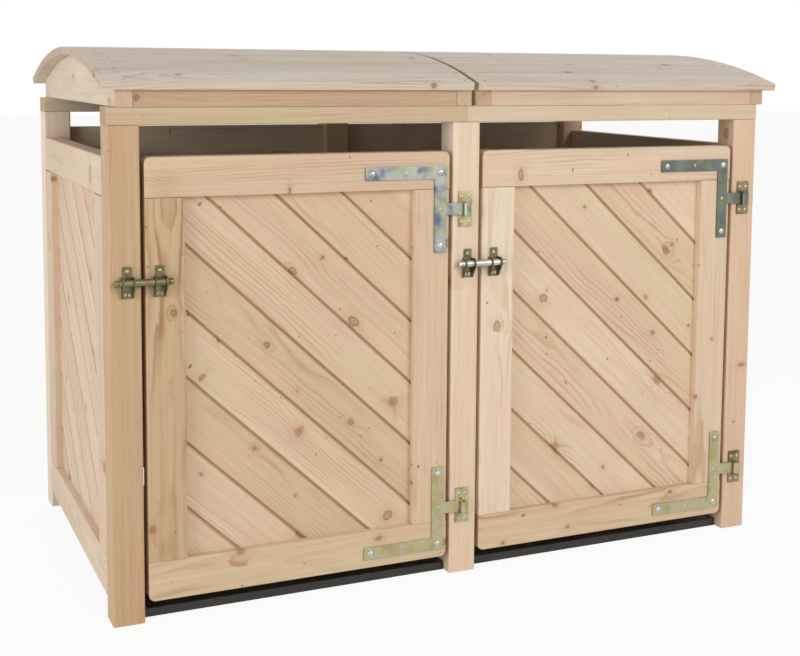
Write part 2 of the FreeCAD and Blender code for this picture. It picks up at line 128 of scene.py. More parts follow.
class Workpiece:
    """One solid piece while it is shaped."""

    def __init__(self) -> None:
        """Start with no material."""
        self.mesh = bmesh.new()

    @classmethod
    def stepped(
        cls,
        xs: Sequence[float],
        ys: Sequence[float],
        zs: Sequence[float],
        is_solid: Callable[[Vector], bool] = lambda middle: True,
    ) -> "Workpiece":
        """Build a block with square steps, rebates or notches.

        Args:
            xs: The planes that divide it along X, in rising order.
            ys: The planes along Y.
            zs: The planes along Z.
            is_solid: Says of a cell's middle whether there is material.

        Returns:
            The block as one closed skin.
        """
        piece = cls()
        counts = (len(xs) - 1, len(ys) - 1, len(zs) - 1)
        corners: dict[tuple[int, int, int], bmesh.types.BMVert] = {}

        def corner(place: tuple[int, int, int]) -> bmesh.types.BMVert:
            """Return the one vertex at a crossing of three planes."""
            if place not in corners:
                corners[place] = piece.mesh.verts.new((xs[place[0]], ys[place[1]], zs[place[2]]))
            return corners[place]

        def filled(cell: tuple[int, int, int]) -> bool:
            """Tell whether a cell is inside the block and solid."""
            if not all(0 <= index < count for index, count in zip(cell, counts)):
                return False
            low = Vector((xs[cell[0]], ys[cell[1]], zs[cell[2]]))
            high = Vector((xs[cell[0] + 1], ys[cell[1] + 1], zs[cell[2] + 1]))
            return is_solid((low + high) / 2)

        for cell in itertools.product(*(range(count) for count in counts)):
            if not filled(cell):
                continue
            for axis in range(3):
                for step in (0, 1):
                    neighbour = list(cell)
                    neighbour[axis] += 1 if step else -1
                    if filled(tuple(neighbour)):
                        continue
                    first, second = (axis + 1) % 3, (axis + 2) % 3
                    ring = []
                    for u, v in ((0, 0), (1, 0), (1, 1), (0, 1)):
                        place = list(cell)
                        place[axis] += step
                        place[first] += u
                        place[second] += v
                        ring.append(corner(tuple(place)))
                    piece.mesh.faces.new(ring if step else ring[::-1])
        bmesh.ops.dissolve_limit(
            piece.mesh, angle_limit=0.01, verts=piece.mesh.verts[:], edges=piece.mesh.edges[:]
        )
        return piece

    @classmethod
    def block(cls, low: Vector, high: Vector) -> "Workpiece":
        """Return a plain rectangular block between two corners."""
        return cls.stepped((low.x, high.x), (low.y, high.y), (low.z, high.z))

    @classmethod
    def prism(cls, outline: Outline, low: float, high: float) -> "Workpiece":
        """Sweep a closed outline in X and Y from one height to another.

        Args:
            outline: The corners in order, anticlockwise seen from above.
            low: Where the sweep starts along Z.
            high: Where it ends.

        Returns:
            The closed prism.
        """
        piece = cls()
        bottom = [piece.mesh.verts.new((x, y, low)) for x, y in outline]
        top = [piece.mesh.verts.new((x, y, high)) for x, y in outline]
        piece.mesh.faces.new(bottom[::-1])
        piece.mesh.faces.new(top)
        for index in range(len(outline)):
            after = (index + 1) % len(outline)
            piece.mesh.faces.new((bottom[index], bottom[after], top[after], top[index]))
        return piece

    @classmethod
    def turned(cls, profile: Outline, segments: int = 32) -> "Workpiece":
        """Turn a profile about Z, as on a lathe.

        Args:
            profile: Points (radius, height) from the lower end to the upper one, both ends on the axis.
            segments: How many facets go round.

        Returns:
            The closed round piece.
        """
        piece = cls()
        rings = []
        for radius, height in profile:
            if radius < SAME_PLACE:
                rings.append([piece.mesh.verts.new((0.0, 0.0, height))])
                continue
            turn = 2 * math.pi / segments
            rings.append([
                piece.mesh.verts.new((radius * math.cos(turn * i), radius * math.sin(turn * i), height))
                for i in range(segments)
            ])
        for below, above in zip(rings[:-1], rings[1:]):
            for index in range(segments):
                after = (index + 1) % segments
                ring = [below[index % len(below)], below[after % len(below)]]
                ring += [above[after % len(above)], above[index % len(above)]]
                piece.mesh.faces.new(list(dict.fromkeys(ring)))
        return piece

    def round_edges(
        self, test: Callable[[Vector, Vector], bool], radius: float, segments: int = 3
    ) -> "Workpiece":
        """Round off the edges whose two ends pass a test.

        Args:
            test: Takes an edge's two ends.
            radius: How much comes off.
            segments: Facets across the rounding.

        Returns:
            The same piece.
        """
        edges = [edge for edge in self.mesh.edges if test(edge.verts[0].co, edge.verts[1].co)]
        bmesh.ops.bevel(
            self.mesh, geom=edges, offset=radius, offset_type="OFFSET", segments=segments,
            profile=0.5, affect="EDGES", clamp_overlap=True,
        )
        return self

    def keep_side(self, point: Vector, normal: Vector) -> "Workpiece":
        """Saw off what lies beyond a plane and close the cut; the normal points at the waste."""
        geometry = self.mesh.verts[:] + self.mesh.edges[:] + self.mesh.faces[:]
        cut = bmesh.ops.bisect_plane(
            self.mesh, geom=geometry, plane_co=point, plane_no=normal, clear_outer=True, dist=1e-7
        )
        rim = [item for item in cut["geom_cut"] if isinstance(item, bmesh.types.BMEdge)]
        if rim:
            bmesh.ops.holes_fill(self.mesh, edges=rim, sides=0)
        return self

    def placed(self, matrix: Matrix) -> "Workpiece":
        """Move the piece by a matrix."""
        bmesh.ops.transform(self.mesh, matrix=matrix, verts=self.mesh.verts[:])
        return self

    def copy(self) -> "Workpiece":
        """Return a second piece of the same shape."""
        twin = Workpiece()
        twin.mesh.free()
        twin.mesh = self.mesh.copy()
        return twin

    def combined(self, tool: "Workpiece", operation: str) -> "Workpiece":
        """Weld another solid on, or cut its shape away.

        Args:
            tool: The other solid.
            operation: UNION or DIFFERENCE.

        Returns:
            The same piece in its new shape.
        """
        holders = []
        for name, source in (("work", self), ("tool", tool)):
            data = bpy.data.meshes.new(name)
            source.mesh.to_mesh(data)
            holders.append(new_object(name, data))
        change = holders[0].modifiers.new("change", "BOOLEAN")
        change.operation = operation
        change.object = holders[1]
        change.solver = "EXACT"
        bpy.context.view_layer.update()
        result = holders[0].evaluated_get(bpy.context.evaluated_depsgraph_get())
        self.mesh.clear()
        self.mesh.from_mesh(result.to_mesh())
        result.to_mesh_clear()
        for holder in holders:
            data = holder.data
            bpy.data.objects.remove(holder)
            bpy.data.meshes.remove(data)
        return self

    def faced_outwards(self) -> "Workpiece":
        """Turn every face of the closed piece outwards."""
        bmesh.ops.recalc_face_normals(self.mesh, faces=self.mesh.faces[:])
        return self

    def mark_sharp(self) -> None:
        """Shade the skin smoothly except across its corners."""
        self.mesh.normal_update()
        for face in self.mesh.faces:
            face.smooth = True
        for edge in self.mesh.edges:
            edge.smooth = edge.calc_face_angle(math.pi) < SHARP_ANGLE


def arc(centre: tuple[float, float], radius: float, start: float, end: float, steps: int) -> Points:
    """Return points along a circle from one angle to another, both in degrees."""
    angles = [math.radians(start + (end - start) * step / steps) for step in range(steps + 1)]
    return [(centre[0] + radius * math.cos(a), centre[1] + radius * math.sin(a)) for a in angles]


def dome(radius: float, foot: float, rise: float, steps: int) -> Points:
    """Return a domed head's profile, from its rim at the foot to its top."""
    turns = [math.pi / 2 * step / steps for step in range(steps + 1)]
    return [(radius * math.cos(turn), foot + rise * math.sin(turn)) for turn in turns]


def bent_strip(path: Outline, thickness: float) -> Points:
    """Return the outline of a strip of even thickness bent along a path of points."""
    sides: tuple[list[Vector], list[Vector]] = ([], [])
    points = [Vector(point) for point in path]
    for index, point in enumerate(points):
        before = points[max(index - 1, 0)]
        after = points[min(index + 1, len(points) - 1)]
        run_in = (point - before).normalized() if index else (after - point).normalized()
        run_out = (after - point).normalized() if index < len(points) - 1 else run_in
        normal = (run_in + run_out).normalized()
        normal = Vector((-normal.y, normal.x))
        reach = thickness / 2 / max(0.5, normal.dot(Vector((-run_in.y, run_in.x))))
        sides[0].append(point + normal * reach)
        sides[1].append(point - normal * reach)
    return [tuple(point) for point in sides[1] + sides[0][::-1]]


def axes_matrix(along: Vector, out: Vector, origin: Vector = Vector()) -> Matrix:
    """Return the matrix whose X runs along, whose Z points out and whose zero is the origin."""
    across = out.cross(along)
    rotation = Matrix((along, across, out)).transposed()
    return Matrix.Translation(origin) @ rotation.to_4x4()


def to_front(x: float, y: float, z: float) -> Matrix:
    """Return the matrix that points a piece's Z to the front at a place."""
    return axes_matrix(X_AXIS, -Y_AXIS, Vector((x, y, z)))


def to_back(x: float, y: float, z: float) -> Matrix:
    """Return the matrix that points a piece's Z to the back at a place."""
    return axes_matrix(X_AXIS, Y_AXIS, Vector((x, y, z)))


def to_right(x: float, y: float, z: float) -> Matrix:
    """Return the matrix that points a piece's Z to the right at a place."""
    return axes_matrix(-Z_AXIS, X_AXIS, Vector((x, y, z)))


def against_face(x: float, face: float, z: float = 0.0, way: int = 1) -> Matrix:
    """Return the matrix that stands a flat piece up against a face, its thickness to the front."""
    return Matrix(((1, 0, 0, x), (0, 0, -1, face), (0, way, 0, z), (0, 0, 0, 1)))


class Graph:
    """A node tree with short ways to add nodes and join them."""

    def __init__(self, tree: bpy.types.NodeTree) -> None:
        """Work on a tree."""
        self.tree = tree

    def add(self, kind: str, feeds: dict | None = None, **settings: object) -> bpy.types.Node:
        """Add a node.

        Args:
            kind: The node's type without its ShaderNode prefix.
            feeds: What goes into its inputs, by name or number: sockets or plain values.
            **settings: Properties of the node.

        Returns:
            The node.
        """
        node = self.tree.nodes.new(f"ShaderNode{kind}")
        for name, value in settings.items():
            setattr(node, name, value)
        for name, value in (feeds or {}).items():
            self.feed(node.inputs[name], value)
        return node

    def feed(self, socket: Socket, value: object) -> None:
        """Join a socket to an input, or set the input to a plain value."""
        if isinstance(value, Socket):
            self.tree.links.new(value, socket)
        else:
            socket.default_value = value

    def math(self, operation: str, *values: object) -> Socket:
        """Return the result of a Math node on one to three values."""
        return self.add("Math", dict(enumerate(values)), operation=operation).outputs[0]

    def mix(self, factor: object, first: object, second: object, blend: str = "MIX") -> Socket:
        """Return two colours mixed by a factor."""
        node = self.add("Mix", data_type="RGBA", blend_type=blend)
        self.feed(node.inputs[0], factor)
        self.feed(node.inputs[6], first)
        self.feed(node.inputs[7], second)
        return node.outputs[2]

    def times(self, first: object, second: object) -> Socket:
        """Return the product of two values."""
        return self.math("MULTIPLY", first, second)

    def scale_add(self, value: object, factor: object, offset: object) -> Socket:
        """Return a value times a factor, plus an offset."""
        return self.math("MULTIPLY_ADD", value, factor, offset)

    def length(self, first: object, second: object) -> Socket:
        """Return the length of a line with two square components."""
        squares = [self.times(side, side) for side in (first, second)]
        return self.math("SQRT", self.math("ADD", *squares))

    def fall(self, value: object, low: float, high: float) -> Socket:
        """Return a soft step down from 1 to 0 between two limits."""
        return self.smooth(value, low, high, 1.0, 0.0)

    def smooth(
        self, value: object, low: object, high: object, start: float = 0.0, end: float = 1.0
    ) -> Socket:
        """Return a soft step of a value between two limits."""
        node = self.add("MapRange", interpolation_type="SMOOTHSTEP")
        for index, item in enumerate((value, low, high, start, end)):
            self.feed(node.inputs[index], item)
        return node.outputs[0]

    def scaled(self, vector: object, factors: Triple) -> Socket:
        """Return a vector with each axis multiplied by its own factor."""
        return self.add("VectorMath", {0: vector, 1: factors}, operation="MULTIPLY").outputs[0]

    def noise(self, vector: object, scale: float = 1.0, detail: float = 2.0) -> Socket:
        """Return soft noise from 0 to 1 at a place."""
        feeds = {"Vector": vector, "Scale": scale, "Detail": detail, "Roughness": 0.55}
        return self.add("TexNoise", feeds).outputs[0]

    def run_noise(self, place: object, run: Triple, detail: float = 2.0) -> Socket:
        """Return noise from 0 to 1 that changes at its own rate along each axis."""
        return self.noise(self.scaled(place, run), detail=detail)

    def swing(self, place: object, run: Triple, detail: float = 2.0) -> Socket:
        """Return noise about zero that changes at its own rate along each axis."""
        return self.math("SUBTRACT", self.run_noise(place, run, detail), 0.5)


class SocketKind(Enum):
    """What a group's socket carries."""

    VALUE = "NodeSocketFloat"
    VECTOR = "NodeSocketVector"
    COLOUR = "NodeSocketColor"


class SharedEffect:
    """A node group that several finishes use, built once."""

    name: str = ""
    inputs: dict[str, SocketKind] = {}
    outputs: dict[str, SocketKind] = {
        "Color": SocketKind.COLOUR,
        "Roughness": SocketKind.VALUE,
        "Height": SocketKind.VALUE,
    }

    @classmethod
    def tree(cls) -> bpy.types.NodeTree:
        """Return the group, building it on first use."""
        if cls.name in bpy.data.node_groups:
            return bpy.data.node_groups[cls.name]
        group = bpy.data.node_groups.new(cls.name, "ShaderNodeTree")
        for sockets, direction in ((cls.inputs, "INPUT"), (cls.outputs, "OUTPUT")):
            for socket, kind in sockets.items():
                group.interface.new_socket(name=socket, in_out=direction, socket_type=kind.value)
        graph = Graph(group)
        source = group.nodes.new("NodeGroupInput")
        target = group.nodes.new("NodeGroupOutput")
        results = cls.draw(graph, {socket: source.outputs[socket] for socket in cls.inputs})
        for socket, result in results.items():
            group.links.new(result, target.inputs[socket])
        return group

    @classmethod
    def draw(cls, graph: Graph, given: dict) -> dict:
        """Add the group's nodes.

        Args:
            graph: The group's tree.
            given: The group's input sockets by name.

        Returns:
            The sockets that hold its colour, roughness and height, by name.
        """
        raise NotImplementedError

    @classmethod
    def place(cls, graph: Graph, feeds: dict) -> bpy.types.Node:
        """Put the group into a material with its own values."""
        node = graph.tree.nodes.new("ShaderNodeGroup")
        node.node_tree = cls.tree()
        for name, value in feeds.items():
            graph.feed(node.inputs[name], value)
        return node


class LarchGrain(SharedEffect):
    """Larch as it lies in the log: growth rings, fibres, drifts of colour, and knots round the pith, with
    painted shade along its joints.

    A run is a noise's steps per metre along the log and across it, a fade where something ends.
    """

    name = "larch_grain"
    inputs = {
        **dict.fromkeys(("Log Place", "Tone"), SocketKind.VECTOR),
        **dict.fromkeys(("End Grain", "Seam"), SocketKind.VALUE),
        **dict.fromkeys(("Heartwood", "Blush", "Straw", "Sapwood", "Latewood", "Knot"), SocketKind.COLOUR),
        **dict.fromkeys(("Ring Width", "Ring Strength", "Knot Share", "Sapwood Radius"), SocketKind.VALUE),
    }

    drift_run = (1.9, 7.0, 7.0)
    wobble_run = (11.0, 48.0, 48.0)
    ragged_run = (90.0, 170.0, 170.0)
    fibre_run = (8.0, 380.0, 380.0)
    streak_run = (2.4, 105.0, 105.0)
    cloud_run = (4.0, 17.0, 17.0)
    figure_run = (2.6, 13.0, 13.0)

    plain_light = 0.94
    tone_light = 0.045
    fibre_light = 0.12
    streak_light = 0.20
    end_grain_light = -0.18
    green_depth = 1.5
    blue_depth = 2.1
    # The tint of the painted shade in the joints between boards and between slats.
    painted_edge_shade_tint = (0.78, 0.69, 0.58, 1.0)

    cloud_contrast = 2.6
    pink_by_tone = 0.28
    pink_start = -0.90
    straw_by_tone = 0.6
    straw_start = -1.30
    straw_most = 0.75
    sapwood_drift = 0.020
    sapwood_fade = 0.012
    sapwood_most = 0.7
    sapwood_calm = -0.4

    ring_drift = 0.048
    ring_wobble = 0.0076
    latewood_rise = (0.35, 0.86)
    latewood_fall = (0.90, 1.0)
    year_spread = 0.75
    figure_fade = (0.44, 0.68)
    figure_least = 0.10

    spot_stretch = 0.72
    knot_spacing = 0.15
    knot_turn = 0.75
    knot_least = 0.0022
    knot_most = 0.0095
    knot_size_power = 1.6
    knot_wobble = 0.0100
    knot_ragged = 0.0045
    small_knot_fade = (0.0026, 0.0046)
    live_share = 0.5
    core_depth = 0.40
    core_depth_live = 0.16
    core_depth_small = 0.26
    core_fade = (0.55, 1.1)
    core_rings = 2.6
    core_ring_fade = (0.3, 0.9)
    core_ring_depth = 0.12
    rim_rise = (0.66, 0.96)
    rim_fall = (1.0, 1.30)
    rim_depth = 0.64
    rim_depth_live = -0.34
    halo_reach = 2.6
    halo_most = 0.30
    ring_lift = 1.9
    dark_knot_tint = (0.46, 0.42, 0.34, 1.0)

    speck_spacing = 0.075
    speck_turn = 0.40
    speck_least = 0.0008
    speck_most = 0.0024
    speck_share = 0.45
    speck_wobble = 0.0050
    speck_fade = (0.4, 1.3)
    speck_depth = 0.40
    speck_depth_spread = 0.45

    rim_sink = -0.8
    plain_roughness = 0.52
    fibre_roughness = 0.16
    latewood_roughness = -0.08
    end_grain_roughness = 0.15

    @classmethod
    def draw(cls, graph: Graph, given: dict) -> dict:
        """Add the group's nodes and return its results by name."""
        place = given["Log Place"]
        axes = graph.add("SeparateXYZ", {0: place}).outputs
        tone = graph.add("SeparateXYZ", {0: given["Tone"]}).outputs
        drift = graph.swing(place, cls.drift_run)
        wobble = graph.swing(place, cls.wobble_run)
        from_pith = graph.length(axes[1], axes[2])
        polar = (axes[0], graph.math("ARCTAN2", axes[1], axes[2]), from_pith)
        knots = cls.draw_knots(graph, polar, wobble, graph.swing(place, cls.ragged_run), given["Knot Share"])
        specks = cls.draw_specks(graph, polar, wobble, given["Knot Share"])
        late = cls.draw_rings(graph, given, from_pith, drift, wobble, knots["lift"])
        fibre = graph.run_noise(place, cls.fibre_run, 3.0)

        colour = cls.draw_clouds(graph, given, tone, drift)
        edge = graph.scale_add(drift, cls.sapwood_drift, from_pith)
        edge = graph.math("SUBTRACT", edge, given["Sapwood Radius"])
        sapwood = graph.times(graph.smooth(edge, -cls.sapwood_fade, cls.sapwood_fade), cls.sapwood_most)
        colour = graph.mix(sapwood, colour, given["Sapwood"])
        strength = graph.times(late, given["Ring Strength"])
        strength = graph.times(strength, graph.scale_add(sapwood, cls.sapwood_calm, 1.0))
        colour = graph.mix(strength, colour, given["Latewood"])
        colour = graph.mix(graph.times(knots["halo"], cls.halo_most), colour, given["Latewood"])
        colour = graph.mix(knots["core"], colour, given["Knot"])
        dark_knot = graph.mix(1.0, given["Knot"], cls.dark_knot_tint, "MULTIPLY")
        colour = graph.mix(graph.math("MAXIMUM", knots["rim"], specks), colour, dark_knot)
        # The first value of the tone is the timber's own tone with its step of painted light and shade
        # added.
        light = graph.scale_add(tone[0], cls.tone_light, cls.plain_light)
        light = graph.scale_add(fibre, cls.fibre_light, light)
        light = graph.scale_add(graph.swing(place, cls.streak_run, 3.0), cls.streak_light, light)
        light = graph.times(light, graph.scale_add(given["End Grain"], cls.end_grain_light, 1.0))
        green = graph.math("POWER", light, cls.green_depth)
        blue = graph.math("POWER", light, cls.blue_depth)
        tint = graph.add("CombineXYZ", {0: light, 1: green, 2: blue}).outputs[0]
        # Light goes deeper into darker wood, which makes it browner as well.
        colour = graph.mix(1.0, colour, tint, "MULTIPLY")
        # Painted shade: the long edges and chamfers are darkened where shade falls in the joints.
        colour = graph.mix(given["Seam"], colour, cls.painted_edge_shade_tint, "MULTIPLY")

        height = graph.scale_add(late, 0.5, graph.times(fibre, 0.5))
        height = graph.scale_add(knots["rim"], cls.rim_sink, height)
        rough = graph.scale_add(late, cls.latewood_roughness, cls.plain_roughness)
        rough = graph.scale_add(fibre, cls.fibre_roughness, rough)
        rough = graph.scale_add(given["End Grain"], cls.end_grain_roughness, rough)
        return {"Color": colour, "Roughness": rough, "Height": height}

    @classmethod
    def draw_clouds(cls, graph: Graph, given: dict, tone: Sequence[object], drift: object) -> Socket:
        """Add the drifts of pink and straw yellow.

        Args:
            graph: The group's tree.
            given: The group's input sockets by name.
            tone: The timber's own three shades.
            drift: Slow noise about zero.

        Returns:
            The colour before rings and knots.
        """
        feeds = {"Vector": graph.scaled(given["Log Place"], cls.cloud_run), "Scale": 1.0}
        clouds = graph.add("TexNoise", {**feeds, "Detail": 3.0, "Roughness": 0.5})
        clouds = graph.add("SeparateColor", {0: clouds.outputs["Color"]}).outputs
        start = graph.scale_add(tone[1], cls.pink_by_tone, cls.pink_start)
        pink = graph.math("ADD", graph.scale_add(clouds[0], cls.cloud_contrast, start), drift)
        pink = graph.add("Clamp", {0: pink}).outputs[0]
        start = graph.scale_add(tone[2], cls.straw_by_tone, cls.straw_start)
        straw = graph.add("Clamp", {0: graph.scale_add(clouds[1], cls.cloud_contrast, start)}).outputs[0]
        colour = graph.mix(pink, given["Heartwood"], given["Blush"])
        return graph.mix(graph.times(straw, cls.straw_most), colour, given["Straw"])

    @classmethod
    def draw_rings(
        cls, graph: Graph, given: dict, from_pith: object, drift: object, wobble: object, lift: object
    ) -> Socket:
        """Add the growth rings, which fade in and out over the timber.

        Args:
            graph: The group's tree.
            given: The group's input sockets by name.
            from_pith: The distance from the pith.
            drift: Slow noise about zero, for the stem's drift.
            wobble: Small noise about zero.
            lift: How far the knots push the rings out.

        Returns:
            How much latewood there is.
        """
        radius = graph.scale_add(drift, cls.ring_drift, from_pith)
        radius = graph.scale_add(wobble, cls.ring_wobble, radius)
        radius = graph.math("SUBTRACT", radius, lift)
        rings = graph.math("DIVIDE", radius, given["Ring Width"])
        share = graph.math("FRACT", rings)
        count = graph.math("FLOOR", rings)
        year = graph.add("TexWhiteNoise", {"W": count}, noise_dimensions="1D").outputs[0]
        rise = graph.smooth(share, *cls.latewood_rise)
        late = graph.times(rise, graph.fall(share, *cls.latewood_fall))
        late = graph.times(late, graph.scale_add(year, cls.year_spread, 1.0 - cls.year_spread))
        shown = graph.run_noise(given["Log Place"], cls.figure_run)
        return graph.times(late, graph.smooth(shown, *cls.figure_fade, cls.figure_least, 1.0))

    @classmethod
    def draw_spots(
        cls, graph: Graph, polar: Sequence[object], spacing: float, turn: float
    ) -> tuple[object, Sequence[object]]:
        """Scatter spots over the log.

        Args:
            graph: The group's tree.
            polar: The place along the log, the direction round the pith and the distance from it.
            spacing: The mean distance of two spots along the log.
            turn: Their mean distance round the pith in radians.

        Returns:
            The distance from the nearest spot's middle, and three random shares of that spot.
        """
        along, angle, from_pith = polar
        cell = graph.add("CombineXYZ", {
            0: graph.math("DIVIDE", along, spacing),
            1: graph.math("DIVIDE", angle, turn),
        }).outputs[0]
        spots = graph.add("TexVoronoi", {"Vector": cell, "Scale": 1.0}, voronoi_dimensions="2D")
        feeds = {0: cell, 1: spots.outputs["Position"]}
        offset = graph.add("VectorMath", feeds, operation="SUBTRACT").outputs[0]
        offset = graph.add("SeparateXYZ", {0: offset}).outputs
        lengthways = graph.times(offset[0], spacing * cls.spot_stretch)
        sideways = graph.times(graph.times(offset[1], turn), from_pith)
        chance = graph.add("SeparateColor", {0: spots.outputs["Color"]}).outputs
        return graph.length(lengthways, sideways), chance

    @classmethod
    def draw_knots(
        cls, graph: Graph, polar: Sequence[object], wobble: object, ragged: object, share: object
    ) -> dict:
        """Add the knots, each a spike that runs out from the pith.

        Args:
            graph: The group's tree.
            polar: The place along the log, the direction round the pith and the distance from it.
            wobble: Small noise about zero.
            ragged: Finer noise about zero.
            share: How many of the possible knots are there.

        Returns:
            The knot's core, its dark rim, the halo round it and how far it lifts the rings.
        """
        distance, chance = cls.draw_spots(graph, polar, cls.knot_spacing, cls.knot_turn)
        distance = graph.scale_add(wobble, cls.knot_wobble, distance)
        distance = graph.math("ABSOLUTE", graph.scale_add(ragged, cls.knot_ragged, distance))
        present = graph.math("LESS_THAN", chance[0], share)
        size = graph.math("POWER", chance[1], cls.knot_size_power)
        size = graph.scale_add(size, cls.knot_most - cls.knot_least, cls.knot_least)
        reach = graph.math("DIVIDE", distance, size)
        small = graph.fall(size, *cls.small_knot_fade)
        live = graph.math("GREATER_THAN", chance[2], cls.live_share)
        depth = graph.scale_add(small, cls.core_depth_small, cls.core_depth)
        depth = graph.scale_add(live, cls.core_depth_live, depth)
        inner = graph.math("FRACT", graph.times(reach, cls.core_rings))
        depth = graph.scale_add(graph.smooth(inner, *cls.core_ring_fade), cls.core_ring_depth, depth)
        core = graph.times(graph.times(graph.fall(reach, *cls.core_fade), present), depth)
        ring = graph.times(graph.smooth(reach, *cls.rim_rise), graph.fall(reach, *cls.rim_fall))
        rim_depth = graph.scale_add(live, cls.rim_depth_live, cls.rim_depth)
        rim = graph.times(graph.times(ring, present), rim_depth)
        spread = graph.math("DIVIDE", reach, cls.halo_reach)
        halo = graph.math("EXPONENT", graph.times(graph.times(spread, spread), -1.0))
        halo = graph.times(halo, present)
        lift = graph.times(graph.times(halo, size), cls.ring_lift)
        return {"core": core, "rim": rim, "halo": halo, "lift": lift}

    @classmethod
    def draw_specks(cls, graph: Graph, polar: Sequence[object], wobble: object, share: object) -> Socket:
        """Add the small brown specks of pin knots and resin, and return how dark they are."""
        distance, chance = cls.draw_spots(graph, polar, cls.speck_spacing, cls.speck_turn)
        distance = graph.math("ABSOLUTE", graph.scale_add(wobble, cls.speck_wobble, distance))
        present = graph.math("LESS_THAN", chance[0], graph.times(share, cls.speck_share))
        size = graph.scale_add(chance[1], cls.speck_most - cls.speck_least, cls.speck_least)
        dot = graph.fall(graph.math("DIVIDE", distance, size), *cls.speck_fade)
        dot = graph.times(dot, present)
        return graph.times(dot, graph.scale_add(chance[2], cls.speck_depth_spread, cls.speck_depth))


class PlatingMottle(SharedEffect):
    """Zinc plating with its passivation colours in drifting patches and fine scratches."""

    name = "plating_mottle"
    inputs = {
        "Place": SocketKind.VECTOR,
        **dict.fromkeys(("Silver", "First Tint", "Second Tint"), SocketKind.COLOUR),
        "Patch Size": SocketKind.VALUE,
    }

    fine_scale = 900.0
    blotch_scale = 260.0
    scratch_run = (60.0, 900.0, 900.0)
    second_fade = (0.36, 0.68)
    second_blotch = 0.6
    first_fade = (0.44, 0.76)
    first_blotch = 0.25
    plain_light = 0.90
    fine_light = 0.16
    blotch_light = 0.45
    least_roughness = 0.16
    patch_roughness = 0.28
    scratch_roughness = 0.14
    scratch_height = 0.4

    @classmethod
    def draw(cls, graph: Graph, given: dict) -> dict:
        """Add the group's nodes and return its results by name."""
        place = given["Place"]
        scale = graph.math("DIVIDE", 1.0, given["Patch Size"])
        patches = graph.add("TexNoise", {"Vector": place, "Scale": scale, "Detail": 1.0})
        split = graph.add("SeparateColor", {0: patches.outputs["Color"]}).outputs
        fine = graph.noise(place, cls.fine_scale)
        blotches = graph.math("SUBTRACT", graph.noise(place, cls.blotch_scale, 3.0), 0.5)
        scratch = graph.run_noise(place, cls.scratch_run)
        second = graph.smooth(graph.scale_add(blotches, cls.second_blotch, split[1]), *cls.second_fade)
        colour = graph.mix(second, given["Silver"], given["Second Tint"])
        first = graph.smooth(graph.scale_add(blotches, cls.first_blotch, split[0]), *cls.first_fade)
        colour = graph.mix(first, colour, given["First Tint"])
        light = graph.scale_add(fine, cls.fine_light, cls.plain_light)
        light = graph.scale_add(blotches, cls.blotch_light, light)
        grey = graph.add("CombineXYZ", {0: light, 1: light, 2: light}).outputs[0]
        colour = graph.mix(1.0, colour, grey, "MULTIPLY")
        rough = graph.scale_add(split[2], cls.patch_roughness, cls.least_roughness)
        rough = graph.scale_add(scratch, cls.scratch_roughness, rough)
        height = graph.scale_add(scratch, cls.scratch_height, fine)
        return {"Color": colour, "Roughness": rough, "Height": height}


@dataclass(frozen=True)
class Finish:
    """A surface of the store, with the record's slot that it belongs to."""

    slot: str
    name: str = ""

    @property
    def title(self) -> str:
        """Return the material's name."""
        return f"{self.name or self.slot}_finish"

    def material(self) -> bpy.types.Material:
        """Return the finish's material, built on first use."""
        if self.title in bpy.data.materials:
            return bpy.data.materials[self.title]
        made = bpy.data.materials.new(self.title)
        made.use_nodes = True
        made.node_tree.nodes.clear()
        graph = Graph(made.node_tree)
        shader = graph.add("BsdfPrincipled")
        graph.add("OutputMaterial", {"Surface": shader.outputs[0]})
        self.dress(graph, shader)
        return made

    def dress(self, graph: Graph, shader: bpy.types.Node) -> None:
        """Join the finish's nodes to its shader."""
        raise NotImplementedError

    @staticmethod
    def join(graph: Graph, shader: bpy.types.Node, surface: dict, depth: float) -> None:
        """Feed a shader its surface.

        Args:
            graph: The material's tree.
            shader: Its shader.
            surface: The sockets of its colour, roughness and height, by name.
            depth: The relief's greatest depth in metres.
        """
        graph.feed(shader.inputs["Base Color"], surface["Color"])
        graph.feed(shader.inputs["Roughness"], surface["Roughness"])
        feeds = {"Height": surface["Height"], "Distance": depth, "Strength": BUMP_STRENGTH}
        graph.feed(shader.inputs["Normal"], graph.add("Bump", feeds).outputs[0])


@dataclass(frozen=True)
class LarchFinish(Finish):
    """Planed larch without a coating."""

    heartwood: Shade = (226, 201, 172)
    blush: Shade = (225, 191, 168)
    straw: Shade = (214, 199, 162)
    sapwood: Shade = (232, 214, 190)
    latewood: Shade = (180, 136, 100)
    knot: Shade = (166, 108, 68)
    ring_width: float = 0.0076
    ring_strength: float = 0.54
    knot_share: float = 0.36
    sapwood_radius: float = 0.125
    gloss: float = 0.32
    relief: float = 0.0005

    def dress(self, graph: Graph, shader: bpy.types.Node) -> None:
        """Join the wood's grain to its shader."""
        attributes = {
            name: graph.add("Attribute", attribute_name=name)
            for name in ("log_place", "timber_tone_and_painted_light", "end_grain", "painted_edge_shade")
        }
        shades = {
            "Heartwood": self.heartwood, "Blush": self.blush, "Straw": self.straw,
            "Sapwood": self.sapwood, "Latewood": self.latewood, "Knot": self.knot,
        }
        grain = LarchGrain.place(graph, {
            "Log Place": attributes["log_place"].outputs["Vector"],
            "Tone": attributes["timber_tone_and_painted_light"].outputs["Vector"],
            "End Grain": attributes["end_grain"].outputs["Fac"],
            "Seam": attributes["painted_edge_shade"].outputs["Fac"],
            **{name: screen_colour(shade) for name, shade in shades.items()},
            "Ring Width": self.ring_width,
            "Ring Strength": self.ring_strength,
            "Knot Share": self.knot_share,
            "Sapwood Radius": self.sapwood_radius,
        }).outputs
        shader.inputs["Specular IOR Level"].default_value = self.gloss
        self.join(graph, shader, grain, self.relief)


